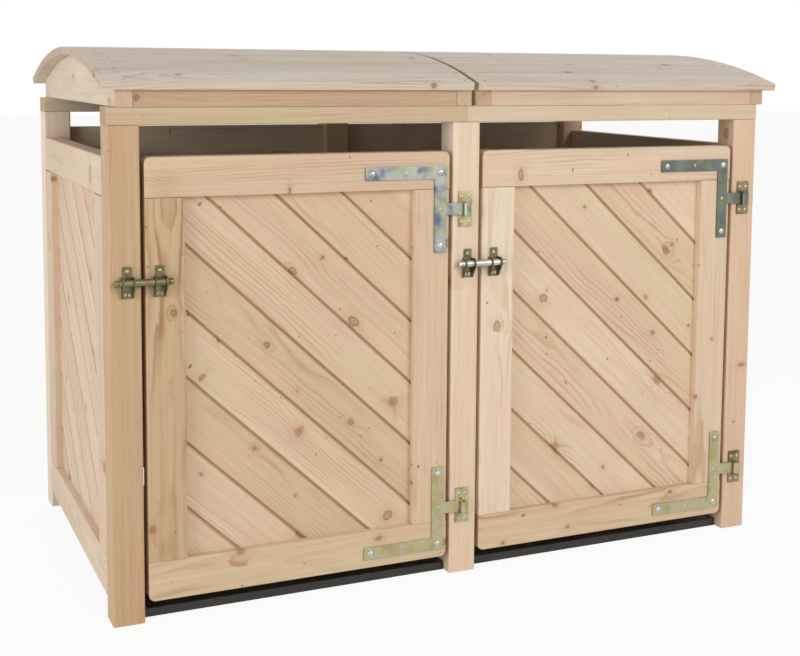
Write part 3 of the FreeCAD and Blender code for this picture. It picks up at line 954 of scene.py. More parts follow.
@dataclass(frozen=True)
class PlatedFinish(Finish):
    """Zinc plated steel."""

    silver: Shade = (196, 198, 196)
    first_tint: Shade = (170, 176, 160)
    second_tint: Shade = (186, 178, 132)
    patch_size: float = 0.028
    metallic: float = 0.85
    relief: float = 0.00012

    def dress(self, graph: Graph, shader: bpy.types.Node) -> None:
        """Join the plating to its shader."""
        shades = {"Silver": self.silver, "First Tint": self.first_tint, "Second Tint": self.second_tint}
        plating = PlatingMottle.place(graph, {
            "Place": graph.add("TexCoord").outputs["Object"],
            **{name: screen_colour(shade) for name, shade in shades.items()},
            "Patch Size": self.patch_size,
        }).outputs
        shader.inputs["Metallic"].default_value = self.metallic
        self.join(graph, shader, plating, self.relief)


@dataclass(frozen=True)
class FilmFacedFinish(Finish):
    """Dark film faced board whose sawn edges show the veneers."""

    film: Shade = (40, 36, 33)
    scuff: Shade = (66, 60, 54)
    veneer: Shade = (54, 54, 50)
    glue_line: Shade = (34, 33, 31)
    veneer_thickness: float = 0.0016
    scuff_run: Triple = (9.0, 30.0, 30.0)
    scuff_fade: tuple[float, float] = (0.5, 0.72)
    glue_fade: tuple[float, float] = (0.46, 0.54)
    film_roughness: float = 0.34
    edge_roughness: float = 0.35
    scuff_roughness: float = 0.2
    grain_scale: float = 420.0
    relief: float = 0.0002

    def dress(self, graph: Graph, shader: bpy.types.Node) -> None:
        """Join film, scuffs and veneers to the shader."""
        shades = (self.film, self.scuff, self.veneer, self.glue_line)
        film, scuff, veneer, glue_line = (screen_colour(shade) for shade in shades)
        place = graph.add("TexCoord").outputs["Object"]
        edge = graph.add("Attribute", attribute_name="end_grain").outputs["Fac"]
        scuffs = graph.smooth(graph.run_noise(place, self.scuff_run, 5.0), *self.scuff_fade)
        height = graph.add("SeparateXYZ", {0: place}).outputs[2]
        layer = graph.math("FRACT", graph.math("DIVIDE", height, self.veneer_thickness * 2))
        veneers = graph.mix(graph.smooth(layer, *self.glue_fade), veneer, glue_line)
        colour = graph.mix(edge, graph.mix(scuffs, film, scuff), veneers)
        rough = graph.scale_add(edge, self.edge_roughness, self.film_roughness)
        rough = graph.scale_add(scuffs, self.scuff_roughness, rough)
        grain = graph.noise(place, self.grain_scale)
        self.join(graph, shader, {"Color": colour, "Roughness": rough, "Height": grain}, self.relief)


POST_LARCH = LarchFinish(
    "post_larch", heartwood=(220, 194, 164), blush=(222, 186, 158),
    straw=(214, 196, 156), ring_strength=0.30, knot_share=0.16,
)
HEADER_LARCH = LarchFinish(
    "header_larch", heartwood=(216, 198, 170), blush=(216, 192, 164),
    straw=(212, 196, 160), ring_strength=0.26, knot_share=0.2,
)
FRAME_LARCH = LarchFinish(
    "frame_larch", heartwood=(224, 202, 175), blush=(225, 194, 170),
    straw=(220, 203, 168), ring_strength=0.56, knot_share=0.30,
)
FIGURED_LARCH = LarchFinish(
    "frame_larch", heartwood=(224, 202, 172), blush=(225, 194, 166),
    straw=(220, 203, 168), ring_width=0.0095, ring_strength=0.95, knot_share=0.45,
    name="figured_larch",
)
BOARD_LARCH = LarchFinish("board_larch")
GABLE_LARCH = LarchFinish(
    "gable_larch", heartwood=(224, 207, 186), blush=(222, 195, 176),
    ring_strength=0.42, knot_share=0.1,
)
SLAT_LARCH = LarchFinish(
    "slat_larch", heartwood=(224, 213, 199), blush=(224, 205, 191),
    straw=(219, 209, 185), sapwood=(233, 225, 213),
    latewood=(166, 138, 116), ring_strength=0.75, knot_share=0.24,
)
FLOOR_FILM = FilmFacedFinish("floor_board")
SILVER_STRAP_ZINC = PlatedFinish(
    "strap_steel", silver=(166, 172, 164), first_tint=(100, 110, 130),
    second_tint=(164, 166, 138), name="silver_strap_steel",
)
GREY_STRAP_ZINC = PlatedFinish(
    "strap_steel", silver=(120, 124, 116), first_tint=(98, 106, 108),
    second_tint=(112, 114, 90), name="grey_strap_steel",
)
OLIVE_STRAP_ZINC = PlatedFinish(
    "strap_steel", silver=(186, 174, 132), first_tint=(170, 160, 112),
    second_tint=(182, 176, 150), name="olive_strap_steel",
)
PINTLE_ZINC = PlatedFinish(
    "pintle_steel", silver=(180, 170, 116), first_tint=(132, 122, 84),
    second_tint=(190, 184, 152),
)
BROWN_PINTLE_ZINC = PlatedFinish(
    "pintle_steel", silver=(146, 132, 100), first_tint=(104, 82, 64),
    second_tint=(140, 130, 98), name="brown_pintle_steel",
)
DULL_ROD_ZINC = PlatedFinish(
    "rod_steel", silver=(130, 122, 88), first_tint=(118, 92, 70),
    second_tint=(120, 124, 88), name="dull_rod_steel",
)
BRIGHT_ROD_ZINC = PlatedFinish(
    "rod_steel", first_tint=(160, 160, 150), second_tint=(200, 196, 182),
    name="bright_rod_steel",
)
BRACKET_ZINC = PlatedFinish(
    "bracket_steel", silver=(122, 114, 82), first_tint=(78, 84, 62),
    second_tint=(128, 116, 88), patch_size=0.012,
)
HINGE_ZINC = PlatedFinish("hinge_steel")
SCREW_ZINC = PlatedFinish(
    "bracket_steel", silver=(196, 194, 180), first_tint=(164, 158, 128),
    name="screw_steel",
)
BOLT_ZINC = PlatedFinish(
    "strap_steel", silver=(190, 194, 194), first_tint=(150, 156, 164),
    second_tint=(184, 184, 174), name="coach_bolt_steel",
)
NAIL_STEEL = PlatedFinish(
    "slat_larch", silver=(96, 84, 74), first_tint=(72, 62, 54),
    second_tint=(104, 90, 76), name="nail_steel",
)

# How much lighter than its fellows a timber is, in steps of its own tone; less than zero is browner. The
# steps are partly each timber's own tone and partly painted light and shade: timbers on the left are
# darkened and those to the right lightened as a painted fall of light across the front, the lid's front
# rails are darkened as painted shadow under the lid's overhang, and the rear left post is lightened as
# painted light where it stands in shade.
TONE_AND_PAINTED_LIGHT_STEPS = {
    "front_left_post": -4.4,
    "front_centre_post": 2.8,
    "front_right_post": 0.8,
    "rear_left_post": 6.0,
    "front_left_header": -1.7,
    "front_right_header": 0.6,
    "left_side_rails": 0.8,
    "left_side_boards": 0.8,
    "left_door_latch_stile": -3.4,
    "left_door_top_rail": -1.4,
    "left_door_bottom_rail": -0.8,
    "left_door_boards": -0.8,
    "right_door_latch_stile": 2.4,
    "right_door_top_rail": 0.6,
    "right_door_boards": 0.5,
    "left_lid_front_rail": -4.4,
    "right_lid_front_rail": -1.5,
    "right_lid_slats": 0.8,
}
# The members that were sawn where the figure is bold.
FIGURED_TIMBERS = ("left_door_bottom_rail", "right_door_bottom_rail", "left_door_latch_stile")


class Cut(Enum):
    """How a timber was sawn: the least and most distance of the pith, sideways and below its middle."""

    FLAT = ((-0.020, 0.020), (0.030, 0.070))
    RIFT = ((0.030, 0.050), (0.025, 0.050))
    QUARTER = ((0.060, 0.085), (-0.010, 0.020))


@dataclass
class Placer:
    """Puts finished meshes into the scene, on the body of the frame node that each stands for."""

    frame: dict
    node_body: dict[str, str] = field(default_factory=dict)

    def __post_init__(self) -> None:
        """Note the body of each frame node."""
        for body, nodes in self.frame["record"]["behaviour"]["bodies"].items():
            self.node_body.update({node: body for node in nodes})

    def place(
        self, name: str, bundle: "Bundle", finish: Finish, body: str, replaced: Sequence[str] = ()
    ) -> None:
        """Make a piece of the scene.

        Args:
            name: The piece's name.
            bundle: Its shape, in the frame's axes.
            finish: Its surface.
            body: The body that it rides on.
            replaced: The frame nodes that it stands for.
        """
        data = bpy.data.meshes.new(name)
        bundle.mesh.to_mesh(data)
        bundle.mesh.free()
        data.materials.append(finish.material())
        piece = new_object(name, data)
        normals = piece.modifiers.new("Weighted normals", "WEIGHTED_NORMAL")
        normals.keep_sharp = True
        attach(piece, body)
        if replaced:
            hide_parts(*replaced)
        LOG.info("%s: %d faces on %s", name, len(data.polygons), body)

    def dress(self, node: str, bundle: "Bundle", finish: Finish) -> None:
        """Make the piece that stands for one frame node, on that node's body."""
        self.place(f"dressed_{node}", bundle, finish, self.node_body[node], [node])


class Bundle:
    """Several separate solids gathered into the one mesh of a piece."""

    def __init__(self) -> None:
        """Start empty."""
        self.mesh = bmesh.new()

    def add(self, piece: Workpiece) -> None:
        """Add a solid, shaded smoothly except across its corners."""
        piece.mark_sharp()
        holder = bpy.data.meshes.new("holder")
        piece.mesh.to_mesh(holder)
        piece.mesh.free()
        self.mesh.from_mesh(holder)
        bpy.data.meshes.remove(holder)


class TimberBundle(Bundle):
    """Timbers of one node, each with its own place in a log and its own tone, to which some are given
    painted light and shade.
    """

    log_length = 40.0
    lean = 0.020
    skew = 0.014
    end_face = 0.8
    side_face = 0.5

    def __init__(self, seed: str) -> None:
        """Start empty, with random draws that only the seed decides."""
        super().__init__()
        self.draw = random.Random(seed)
        self.tone_and_painted_light_step = TONE_AND_PAINTED_LIGHT_STEPS.get(seed, 0.0)

    def add_timber(
        self, piece: Workpiece, along: Vector, out: Vector, cut: Cut, joint_painted_shade: float = 0.0
    ) -> None:
        """Add a timber and note for each point where in the log it lay.

        Args:
            piece: The shaped timber, in the frame's axes.
            along: The direction of its grain.
            out: The direction of its best face.
            cut: How it was sawn.
            joint_painted_shade: How much painted shade darkens its long edges and chamfers, where shade
                falls in the joints, from 0 to 1.
        """
        mesh = piece.mesh
        place = mesh.verts.layers.float_vector.new("log_place")
        tone = mesh.verts.layers.float_vector.new("timber_tone_and_painted_light")
        end = mesh.faces.layers.float.new("end_grain")
        painted_edge_shade = mesh.faces.layers.float.new("painted_edge_shade")
        mesh.normal_update()
        across = out.cross(along)
        points = [vertex.co for vertex in mesh.verts]
        middle = Vector([
            (min(point[axis] for point in points) + max(point[axis] for point in points)) / 2
            for axis in range(3)
        ])
        side = self.draw.choice((-1, 1))
        pith_across = side * self.draw.uniform(*cut.value[0])
        pith_below = self.draw.uniform(*cut.value[1])
        turn = Matrix.Rotation(self.draw.gauss(0.0, self.lean), 3, "Y")
        turn = turn @ Matrix.Rotation(self.draw.gauss(0.0, self.skew), 3, "Z")
        offset = Vector((self.draw.uniform(0.0, self.log_length), -pith_across, pith_below))
        shade = Vector((self.draw.uniform(-1.0, 1.0), self.draw.uniform(-1.0, 1.0), self.draw.random()))
        # Painted light and shade: the timber's step lightens or darkens its whole tone.
        shade.x += self.tone_and_painted_light_step
        for vertex in mesh.verts:
            step = vertex.co - middle
            local = Vector((step.dot(along), step.dot(across), step.dot(out)))
            vertex[place] = turn @ local + offset
            vertex[tone] = shade
        for face in mesh.faces:
            face[end] = 1.0 if abs(face.normal.dot(along)) > self.end_face else 0.0
            # Painted shade goes on the faces along the long edges: the chamfers, tongues and sides of the
            # joints.
            face[painted_edge_shade] = joint_painted_shade if abs(face.normal.dot(across)) > self.side_face else 0.0
        self.add(piece)


def runs_along(axis: Vector) -> Callable[[Vector, Vector], bool]:
    """Return a test that passes the edges that run along an axis."""
    def test(first: Vector, second: Vector) -> bool:
        """Tell whether the run between two ends is along the axis."""
        run = second - first
        return run.length > SAME_PLACE and abs(run.normalized().dot(axis)) > 0.9999

    return test


@dataclass
class Carcase:
    """The six posts, the four headers and the two floor boards."""

    placer: Placer
    arris: float = 0.0045
    header_arris: float = 0.0035
    end_arris: float = 0.001
    floor_setback: float = 0.030
    floor_side_play: float = 0.0005

    def build(self) -> None:
        """Make every timber of the carcase."""
        for row, out in (("front", -Y_AXIS), ("rear", Y_AXIS)):
            for column in ("left", "centre", "right"):
                self.make_post(f"{row}_{column}_post", out)
            for half in ("left", "right"):
                self.make_header(f"{row}_{half}_header", out)
        for side in ("left", "right"):
            self.make_floor_board(f"{side}_floor_board")

    def make_post(self, node: str, out: Vector) -> None:
        """Make one post with rounded upright arrises."""
        low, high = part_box(node)
        piece = Workpiece.block(low, high).round_edges(runs_along(Z_AXIS), self.arris, 4)
        piece.round_edges(lambda a, b: near(a.z, b.z), self.end_arris, 1)
        timbers = TimberBundle(node)
        timbers.add_timber(piece, Z_AXIS, out, Cut.QUARTER)
        self.placer.dress(node, timbers, POST_LARCH)

    def make_header(self, node: str, out: Vector) -> None:
        """Make one length of header with rounded long arrises."""
        low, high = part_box(node)
        piece = Workpiece.block(low, high).round_edges(runs_along(X_AXIS), self.header_arris, 3)
        piece.round_edges(lambda a, b: near(a.x, b.x), self.end_arris, 1)
        timbers = TimberBundle(node)
        timbers.add_timber(piece, X_AXIS, out, Cut.QUARTER)
        self.placer.dress(node, timbers, HEADER_LARCH)

    def make_floor_board(self, node: str) -> None:
        """Make one floor board of film faced plywood, from behind the doors to the back panel."""
        low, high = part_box(node)
        left_post, right_post = ("left", "centre") if node.startswith("left") else ("centre", "right")
        low.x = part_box(f"front_{left_post}_post")[1].x + self.floor_side_play
        high.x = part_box(f"front_{right_post}_post")[0].x - self.floor_side_play
        low.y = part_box("front_left_post")[0].y + self.floor_setback
        piece = Workpiece.block(low, high).round_edges(lambda a, b: True, self.end_arris, 2)
        end = piece.mesh.faces.layers.float.new("end_grain")
        piece.mesh.normal_update()
        for face in piece.mesh.faces:
            face[end] = 1.0 if abs(face.normal.z) < 0.5 else 0.0
        bundle = Bundle()
        bundle.add(piece)
        self.placer.dress(node, bundle, FLOOR_FILM)


class Facing(Enum):
    """The way a framed panel's outer face looks, as its turn about the upright in degrees."""

    FRONT = 0.0
    LEFT = -90.0
    RIGHT = 90.0
    BACK = 180.0


@dataclass
class FramedPanel:
    """A frame of two rails and two stiles round diagonal tongue and groove boards.

    It is drawn with its outer face at Y zero, its lower left corner at zero and its depth along Y.
    """

    placer: Placer
    facing: Facing
    rail_nodes: dict[str, str]
    stile_nodes: dict[str, str]
    board_node: str
    corner_radius: float = 0.0
    member_width: float = 0.088
    member_thickness: float = 0.040
    arris: float = 0.0045
    board_recess: float = 0.020
    board_thickness: float = 0.018
    board_slope: float = 43.0
    board_cover: float = 0.1085
    board_lap: float = 0.010
    board_clearance: float = 0.0005
    first_joint: float = 0.0980
    joint_gap: float = 0.0008
    shoulder_gap: float = 0.0008
    chamfer: float = 0.0040
    tongue_depth: float = 0.006
    tongue_thickness: float = 0.0055
    groove_play: float = 0.0005

    def __post_init__(self) -> None:
        """Find the panel's size and place from its nodes."""
        boxes = [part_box(node) for node in {*self.rail_nodes.values(), *self.stile_nodes.values()}]
        low = Vector([min(box[0][axis] for box in boxes) for axis in range(3)])
        high = Vector([max(box[1][axis] for box in boxes) for axis in range(3)])
        across_x = self.facing in (Facing.FRONT, Facing.BACK)
        self.width = (high.x - low.x) if across_x else (high.y - low.y)
        self.height = high.z - low.z
        origins = {
            Facing.FRONT: Vector((low.x, low.y, low.z)),
            Facing.LEFT: Vector((low.x, high.y, low.z)),
            Facing.RIGHT: Vector((high.x, low.y, low.z)),
            Facing.BACK: Vector((high.x, high.y, low.z)),
        }
        turn = Matrix.Rotation(math.radians(self.facing.value), 4, "Z")
        self.matrix = Matrix.Translation(origins[self.facing]) @ turn

    def direction(self, x: float, y: float, z: float) -> Vector:
        """Return a direction of the panel's own axes in the frame's axes."""
        return (self.matrix.to_3x3() @ Vector((x, y, z))).normalized()

    def build(self) -> None:
        """Make the rails, the stiles and the boards."""
        self.gather(self.rail_nodes, self.make_rail, self.direction(1, 0, 0))
        self.gather(self.stile_nodes, self.make_stile, self.direction(0, 0, 1))
        self.make_boards()

    def gather(self, nodes: dict[str, str], make: Callable[[str], Workpiece], along: Vector) -> None:
        """Make the members that a set of nodes holds.

        Args:
            nodes: The node of each member, by the member's place.
            make: Shapes the member of one place.
            along: The direction of their grain.
        """
        for node in dict.fromkeys(nodes.values()):
            timbers = TimberBundle(node)
            for where in (place for place, holder in nodes.items() if holder == node):
                cut = {"bottom": Cut.FLAT, "left": Cut.FLAT, "top": Cut.QUARTER, "right": Cut.RIFT}[where]
                piece = make(where).placed(self.matrix)
                timbers.add_timber(piece, along, self.direction(0, -1, 0), cut)
            self.placer.dress(node, timbers, FIGURED_LARCH if node in FIGURED_TIMBERS else FRAME_LARCH)

    def make_rail(self, where: str) -> Workpiece:
        """Shape the top or bottom rail, with the rebate for the boards and any rounded corners."""
        edge = self.member_width - self.board_lap
        height, width = self.height, self.width
        if where == "top":
            zs, outer = (height - self.member_width, height - edge, height), height
        else:
            zs, outer = (0.0, edge, self.member_width), 0.0

        def is_solid(middle: Vector) -> bool:
            """Leave out the rebate behind the face."""
            in_span = edge < middle.x < width - edge
            inner = abs(middle.z - outer) > edge
            return not (in_span and inner and middle.y > self.board_recess)

        rail = Workpiece.stepped(
            (0.0, edge, width - edge, width), (0.0, self.board_recess, self.member_thickness), zs, is_solid
        )
        if self.corner_radius > 0:
            rail.round_edges(
                lambda a, b: near(a.z, outer) and near(b.z, outer) and near(a.x, b.x), self.corner_radius, 6
            )
        rail.round_edges(lambda a, b: near(a.y, 0) and near(b.y, 0), self.arris, 3)
        return rail

    def make_stile(self, where: str) -> Workpiece:
        """Shape the left or right stile, with the rebate for the boards."""
        edge = self.member_width - self.board_lap
        if where == "left":
            xs = (0.0, edge, self.member_width)
        else:
            xs = (self.width - self.member_width, self.width - edge, self.width)
        outer = 0.0 if where == "left" else self.width
        stile = Workpiece.stepped(
            xs, (0.0, self.board_recess, self.member_thickness),
            (self.member_width + self.shoulder_gap, self.height - self.member_width - self.shoulder_gap),
            lambda middle: not (abs(middle.x - outer) > edge and middle.y > self.board_recess),
        )
        upright = runs_along(Z_AXIS)
        return stile.round_edges(lambda a, b: near(a.y, 0) and near(b.y, 0) and upright(a, b), self.arris, 3)

    def board_section(self, low: float, high: float) -> Outline:
        """Return a board's outline as points (across, outwards), with its tongue and groove."""
        front = -self.board_recess
        back = front - self.board_thickness
        tongue_back = (front + back - self.tongue_thickness) / 2
        tongue_front = tongue_back + self.tongue_thickness
        play = self.groove_play
        bottom = low + self.tongue_depth + play
        return [
            (low, back),
            (high, back),
            (high, tongue_back),
            (high + self.tongue_depth, tongue_back),
            (high + self.tongue_depth, tongue_front),
            (high, tongue_front),
            (high, front - self.chamfer),
            (high - self.chamfer, front),
            (low + self.chamfer, front),
            (low, front - self.chamfer),
            (low, tongue_front + play),
            (bottom, tongue_front + play),
            (bottom, tongue_back - play),
            (low, tongue_back - play),
        ]

    def board_joints(self) -> list[float]:
        """Return the places of the joints along the line square to the boards, both outer ends included."""
        edge = self.member_width - self.board_lap + self.board_clearance
        slope = math.radians(self.board_slope)
        across_x, across_z = math.sin(slope), math.cos(slope)
        lowest = edge * (across_x + across_z)
        highest = (self.width - edge) * across_x + (self.height - edge) * across_z
        count = math.ceil((highest - self.board_cover / 2 - self.first_joint) / self.board_cover)
        joints = [self.first_joint + self.board_cover * index for index in range(count)]
        joints = [joint for joint in joints if joint > lowest + self.board_cover / 3]
        return [lowest - self.tongue_depth, *joints, highest + self.tongue_depth]

    def make_boards(self) -> None:
        """Make the diagonal boards, which fall from upper left to lower right."""
        edge = self.member_width - self.board_lap + self.board_clearance
        slope = math.radians(self.board_slope)
        along = Vector((math.cos(slope), 0.0, -math.sin(slope)))
        out = -Y_AXIS
        lay = axes_matrix(along, out)
        reach = self.width + self.height
        joints = self.board_joints()
        timbers = TimberBundle(self.board_node)
        for low, high in zip(joints[:-1], joints[1:]):
            board = Workpiece.prism(self.board_section(low, high - self.joint_gap), -reach, reach)
            board.placed(lay @ SWEEP_TO_X)
            for point, waste in (
                (Vector((edge, 0, 0)), -X_AXIS),
                (Vector((self.width - edge, 0, 0)), X_AXIS),
                (Vector((0, 0, edge)), -Z_AXIS),
                (Vector((0, 0, self.height - edge)), Z_AXIS),
            ):
                board.keep_side(point, waste)
            cut = timbers.draw.choice((Cut.FLAT, Cut.FLAT, Cut.RIFT))
            board.placed(self.matrix)
            # The boards' chamfers take the full painted shade of the V joints.
            timbers.add_timber(board, self.direction(*along), self.direction(*out), cut, 1.0)
        self.placer.dress(self.board_node, timbers, BOARD_LARCH)


@dataclass
class FastenerKit:
    """Small fasteners, each drawn with its seat at zero and its head along Z."""

    screw_head: float = 0.0042
    screw_rise: float = 0.0016
    recess_width: float = 0.0011
    recess_depth: float = 0.0012
    coach_head: float = 0.0080
    coach_rise: float = 0.0045
    nut_across_flats: float = 0.0130
    nut_height: float = 0.0065
    washer_radius: float = 0.0100
    washer_thickness: float = 0.0016
    shank_radius: float = 0.0040
    nail_head: float = 0.0027
    screw_rim: float = 0.0002
    coach_rim: float = 0.0006
    recess_reach: float = 0.62
    nut_arris: float = 0.0006
    bolt_end: float = 0.003
    bolt_end_ease: float = 0.001

    def __post_init__(self) -> None:
        """Shape the screw once; it is copied for each place."""
        head, rise = self.screw_head, self.screw_rise
        profile = [(0.0, -rise), (head, -self.screw_rim), *dome(head, 0.0, rise, 5)]
        self.screw_shape = Workpiece.turned(profile, 20)
        top = rise * 2
        bottom = rise - self.recess_depth
        half, reach = self.recess_width / 2, head * self.recess_reach
        for wide, tall in ((reach, half), (half, reach)):
            slot = Workpiece.block(Vector((-wide, -tall, bottom)), Vector((wide, tall, top)))
            self.screw_shape.combined(slot, "DIFFERENCE")

    def screw(self, place: Matrix) -> Workpiece:
        """Return a cross recessed screw."""
        return self.screw_shape.copy().placed(place)

    def coach_head_piece(self, place: Matrix) -> Workpiece:
        """Return the domed head of a coach bolt."""
        head, rim = self.coach_head, self.coach_rim
        profile = [(0.0, 0.0), (head, 0.0), *dome(head, rim, self.coach_rise - rim, 6)]
        return Workpiece.turned(profile, 28).placed(place)

    def coach_nut(self, place: Matrix) -> Workpiece:
        """Return a washer, a nut and the bolt's end behind a door."""
        base, thick = self.washer_radius, self.washer_thickness
        washer = Workpiece.turned([(0.0, 0.0), (base, 0.0), (base, thick), (0.0, thick)], 28)
        corner = self.nut_across_flats / math.sqrt(3)
        outline = arc((0.0, 0.0), corner, 0.0, 300.0, 5)
        nut = Workpiece.prism(outline, thick, thick + self.nut_height)
        nut.round_edges(lambda a, b: near(a.z, b.z), self.nut_arris, 1)
        end = thick + self.nut_height + self.bolt_end
        shank, ease = self.shank_radius, self.bolt_end_ease
        profile = [(0.0, thick), (shank, thick), (shank, end - ease), (shank - ease, end), (0.0, end)]
        tip = Workpiece.turned(profile, 20)
        return washer.combined(nut, "UNION").combined(tip, "UNION").placed(place)

    def nail(self, place: Matrix) -> Workpiece:
        """Return a small flat nail head, a little proud of the wood."""
        head = self.nail_head
        profile = [(0.0, -0.001), (head, -0.001), (head, 0.0001), (head * 0.7, 0.0003), (0.0, 0.0003)]
        return Workpiece.turned(profile, 14).placed(place)


@dataclass
class DoorIronwork:
    """A door's angle straps, pintles, sliding bolt and their fasteners."""

    placer: Placer
    side: str
    kit: FastenerKit
    rod_finish: PlatedFinish
    upper_strap_finish: PlatedFinish
    pintle_finish: PlatedFinish
    strap_width: float = 0.030
    strap_arm: float = 0.205
    strap_thickness: float = 0.004
    strap_corner: float = 0.0025
    plate_arris: float = 0.0006
    stub_height: float = 0.028
    crank_start: float = 0.004
    crank_length: float = 0.014
    eye_wall: float = 0.004
    pin_radius: float = 0.005
    pin_play: float = 0.00008
    plate_thickness: float = 0.003
    ledge_thickness: float = 0.0035
    ledge_play: float = 0.0003
    pin_above_eye: float = 0.003
    bracket_plate: float = 0.0025
    cheek_thickness: float = 0.0025
    tab_width: float = 0.020
    tab_height: float = 0.022
    cheek_foot: float = 0.007
    cheek_bevel: float = 0.006
    knob_radius: float = 0.0072
    knob_length: float = 0.0080
    neck_radius: float = 0.0058
    bolt_inset: float = 0.017
    corner_bolt_inset: float = 0.015
    screw_inset: float = 0.011
    plate_corner: float = 0.003
    bore_play: float = 0.0004
    cheek_ease: float = 0.0005
    knob_ease: float = 0.0030
    pin_ease: float = 0.001
    pintle_screw_inset: float = 0.009
    pintle_screw_above: float = 0.029
    pintle_screw_below: float = 0.031
    foot_screw_spread: float = 0.005
    foot_screw_rise: float = 0.008

    def __post_init__(self) -> None:
        """Find the places of the straps, the eyes and the door's back from the frame."""
        low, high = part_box(f"{self.side}_door_straps")
        self.eye_radius = self.pin_radius + self.pin_play + self.eye_wall
        self.left, self.right = low.x, low.x + self.strap_arm
        self.face = high.y
        self.eye = Vector((high.x - self.eye_radius, low.y + self.eye_radius, 0.0))
        self.corners = {"upper": (high.z, -1), "lower": (low.z, 1)}
        self.door_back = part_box(f"{self.side}_door_hinge_stile")[1].y

    def eye_level(self, corner_z: float, way: int) -> float:
        """Return the height of a strap's eye, half way along its upright arm."""
        return corner_z + way * self.strap_arm / 2

    def build(self) -> None:
        """Make all the ironwork of the door."""
        finishes = {"upper": self.upper_strap_finish, "lower": OLIVE_STRAP_ZINC}
        for where, (corner_z, way) in self.corners.items():
            bundle = Bundle()
            bundle.add(self.strap(corner_z, way))
            self.placer.place(
                f"{self.side}_door_{where}_strap", bundle, finishes[where],
                f"{self.side}_door", [f"{self.side}_door_straps"],
            )
        self.build_pintles()
        self.build_bolt()
        self.build_fasteners()

    def strap(self, corner_z: float, way: int) -> Workpiece:
        """Shape an angle strap with a cranked stub rolled round the pintle.

        Args:
            corner_z: The height of the strap's outer corner.
            way: -1 for an upright arm that points down, 1 for one that points up.

        Returns:
            The strap in the frame's axes.
        """
        arm, width = self.strap_arm, self.strap_width
        outline = [(0, 0), (arm, 0), (arm, arm), (arm - width, arm), (arm - width, width), (0, width)]
        plate = Workpiece.prism(outline, 0.0, self.strap_thickness)
        plate.round_edges(runs_along(Z_AXIS), self.strap_corner, 3)
        plate.round_edges(lambda a, b: near(a.z, b.z), self.plate_arris, 2)
        plate.placed(against_face(self.left, self.face, corner_z, way)).faced_outwards()
        back = self.eye.y + self.eye_radius
        half = self.strap_thickness / 2
        centre = (self.eye.x, self.eye.y)
        path = [
            (self.right - 0.001, self.face - half),
            (self.right + self.crank_start, self.face - half),
            (self.right + self.crank_start + self.crank_length, back - half),
            *arc(centre, self.eye_radius - half, 90.0, -205.0, 26),
        ]
        middle_z = self.eye_level(corner_z, way)
        low, high = middle_z - self.stub_height / 2, middle_z + self.stub_height / 2
        stub = Workpiece.prism(bent_strip(path, self.strap_thickness), low, high)
        return plate.combined(stub.faced_outwards(), "UNION")

    def build_pintles(self) -> None:
        """Make the two screwed plates with their ledges and pins."""
        node = f"{self.side}_door_pintles"
        low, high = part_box(node)
        bundle = Bundle()
        plate_half = 0.0
        for corner_z, way in self.corners.values():
            middle = self.eye_level(corner_z, way)
            plate_half = max(plate_half, min(abs(high.z - middle), abs(middle - low.z)))
        for corner_z, way in self.corners.values():
            middle = self.eye_level(corner_z, way)
            plate = Workpiece.block(
                Vector((low.x, self.face - self.plate_thickness, middle - plate_half)),
                Vector((high.x, self.face, middle + plate_half)),
            )
            plate.round_edges(runs_along(Y_AXIS), self.plate_corner, 3)
            front = self.face - self.plate_thickness
            plate.round_edges(lambda a, b: near(a.y, b.y) and near(a.y, front), self.plate_arris, 2)
            ledge_top = middle - self.stub_height / 2 - self.ledge_play
            radius = self.eye_radius
            tip = arc((self.eye.x, self.eye.y), radius, 180.0, 360.0, 12)
            wall = self.face - self.plate_thickness / 2
            outline = [*tip, (self.eye.x + radius, wall), (self.eye.x - radius, wall)]
            ledge = Workpiece.prism(outline, ledge_top - self.ledge_thickness, ledge_top)
            ledge.round_edges(lambda a, b: near(a.z, b.z) and a.y < wall - SAME_PLACE, self.plate_arris, 1)
            top = middle + self.stub_height / 2 + self.pin_above_eye
            pin, ease = self.pin_radius, self.pin_ease
            profile = [(0.0, ledge_top - 0.002), (pin, ledge_top - 0.002), (pin, top - ease)]
            rod = Workpiece.turned([*profile, (pin - ease, top), (0.0, top)], 28)
            rod.placed(Matrix.Translation((self.eye.x, self.eye.y, 0.0)))
            bundle.add(plate.combined(ledge, "UNION").combined(rod, "UNION"))
        self.placer.dress(node, bundle, self.pintle_finish)

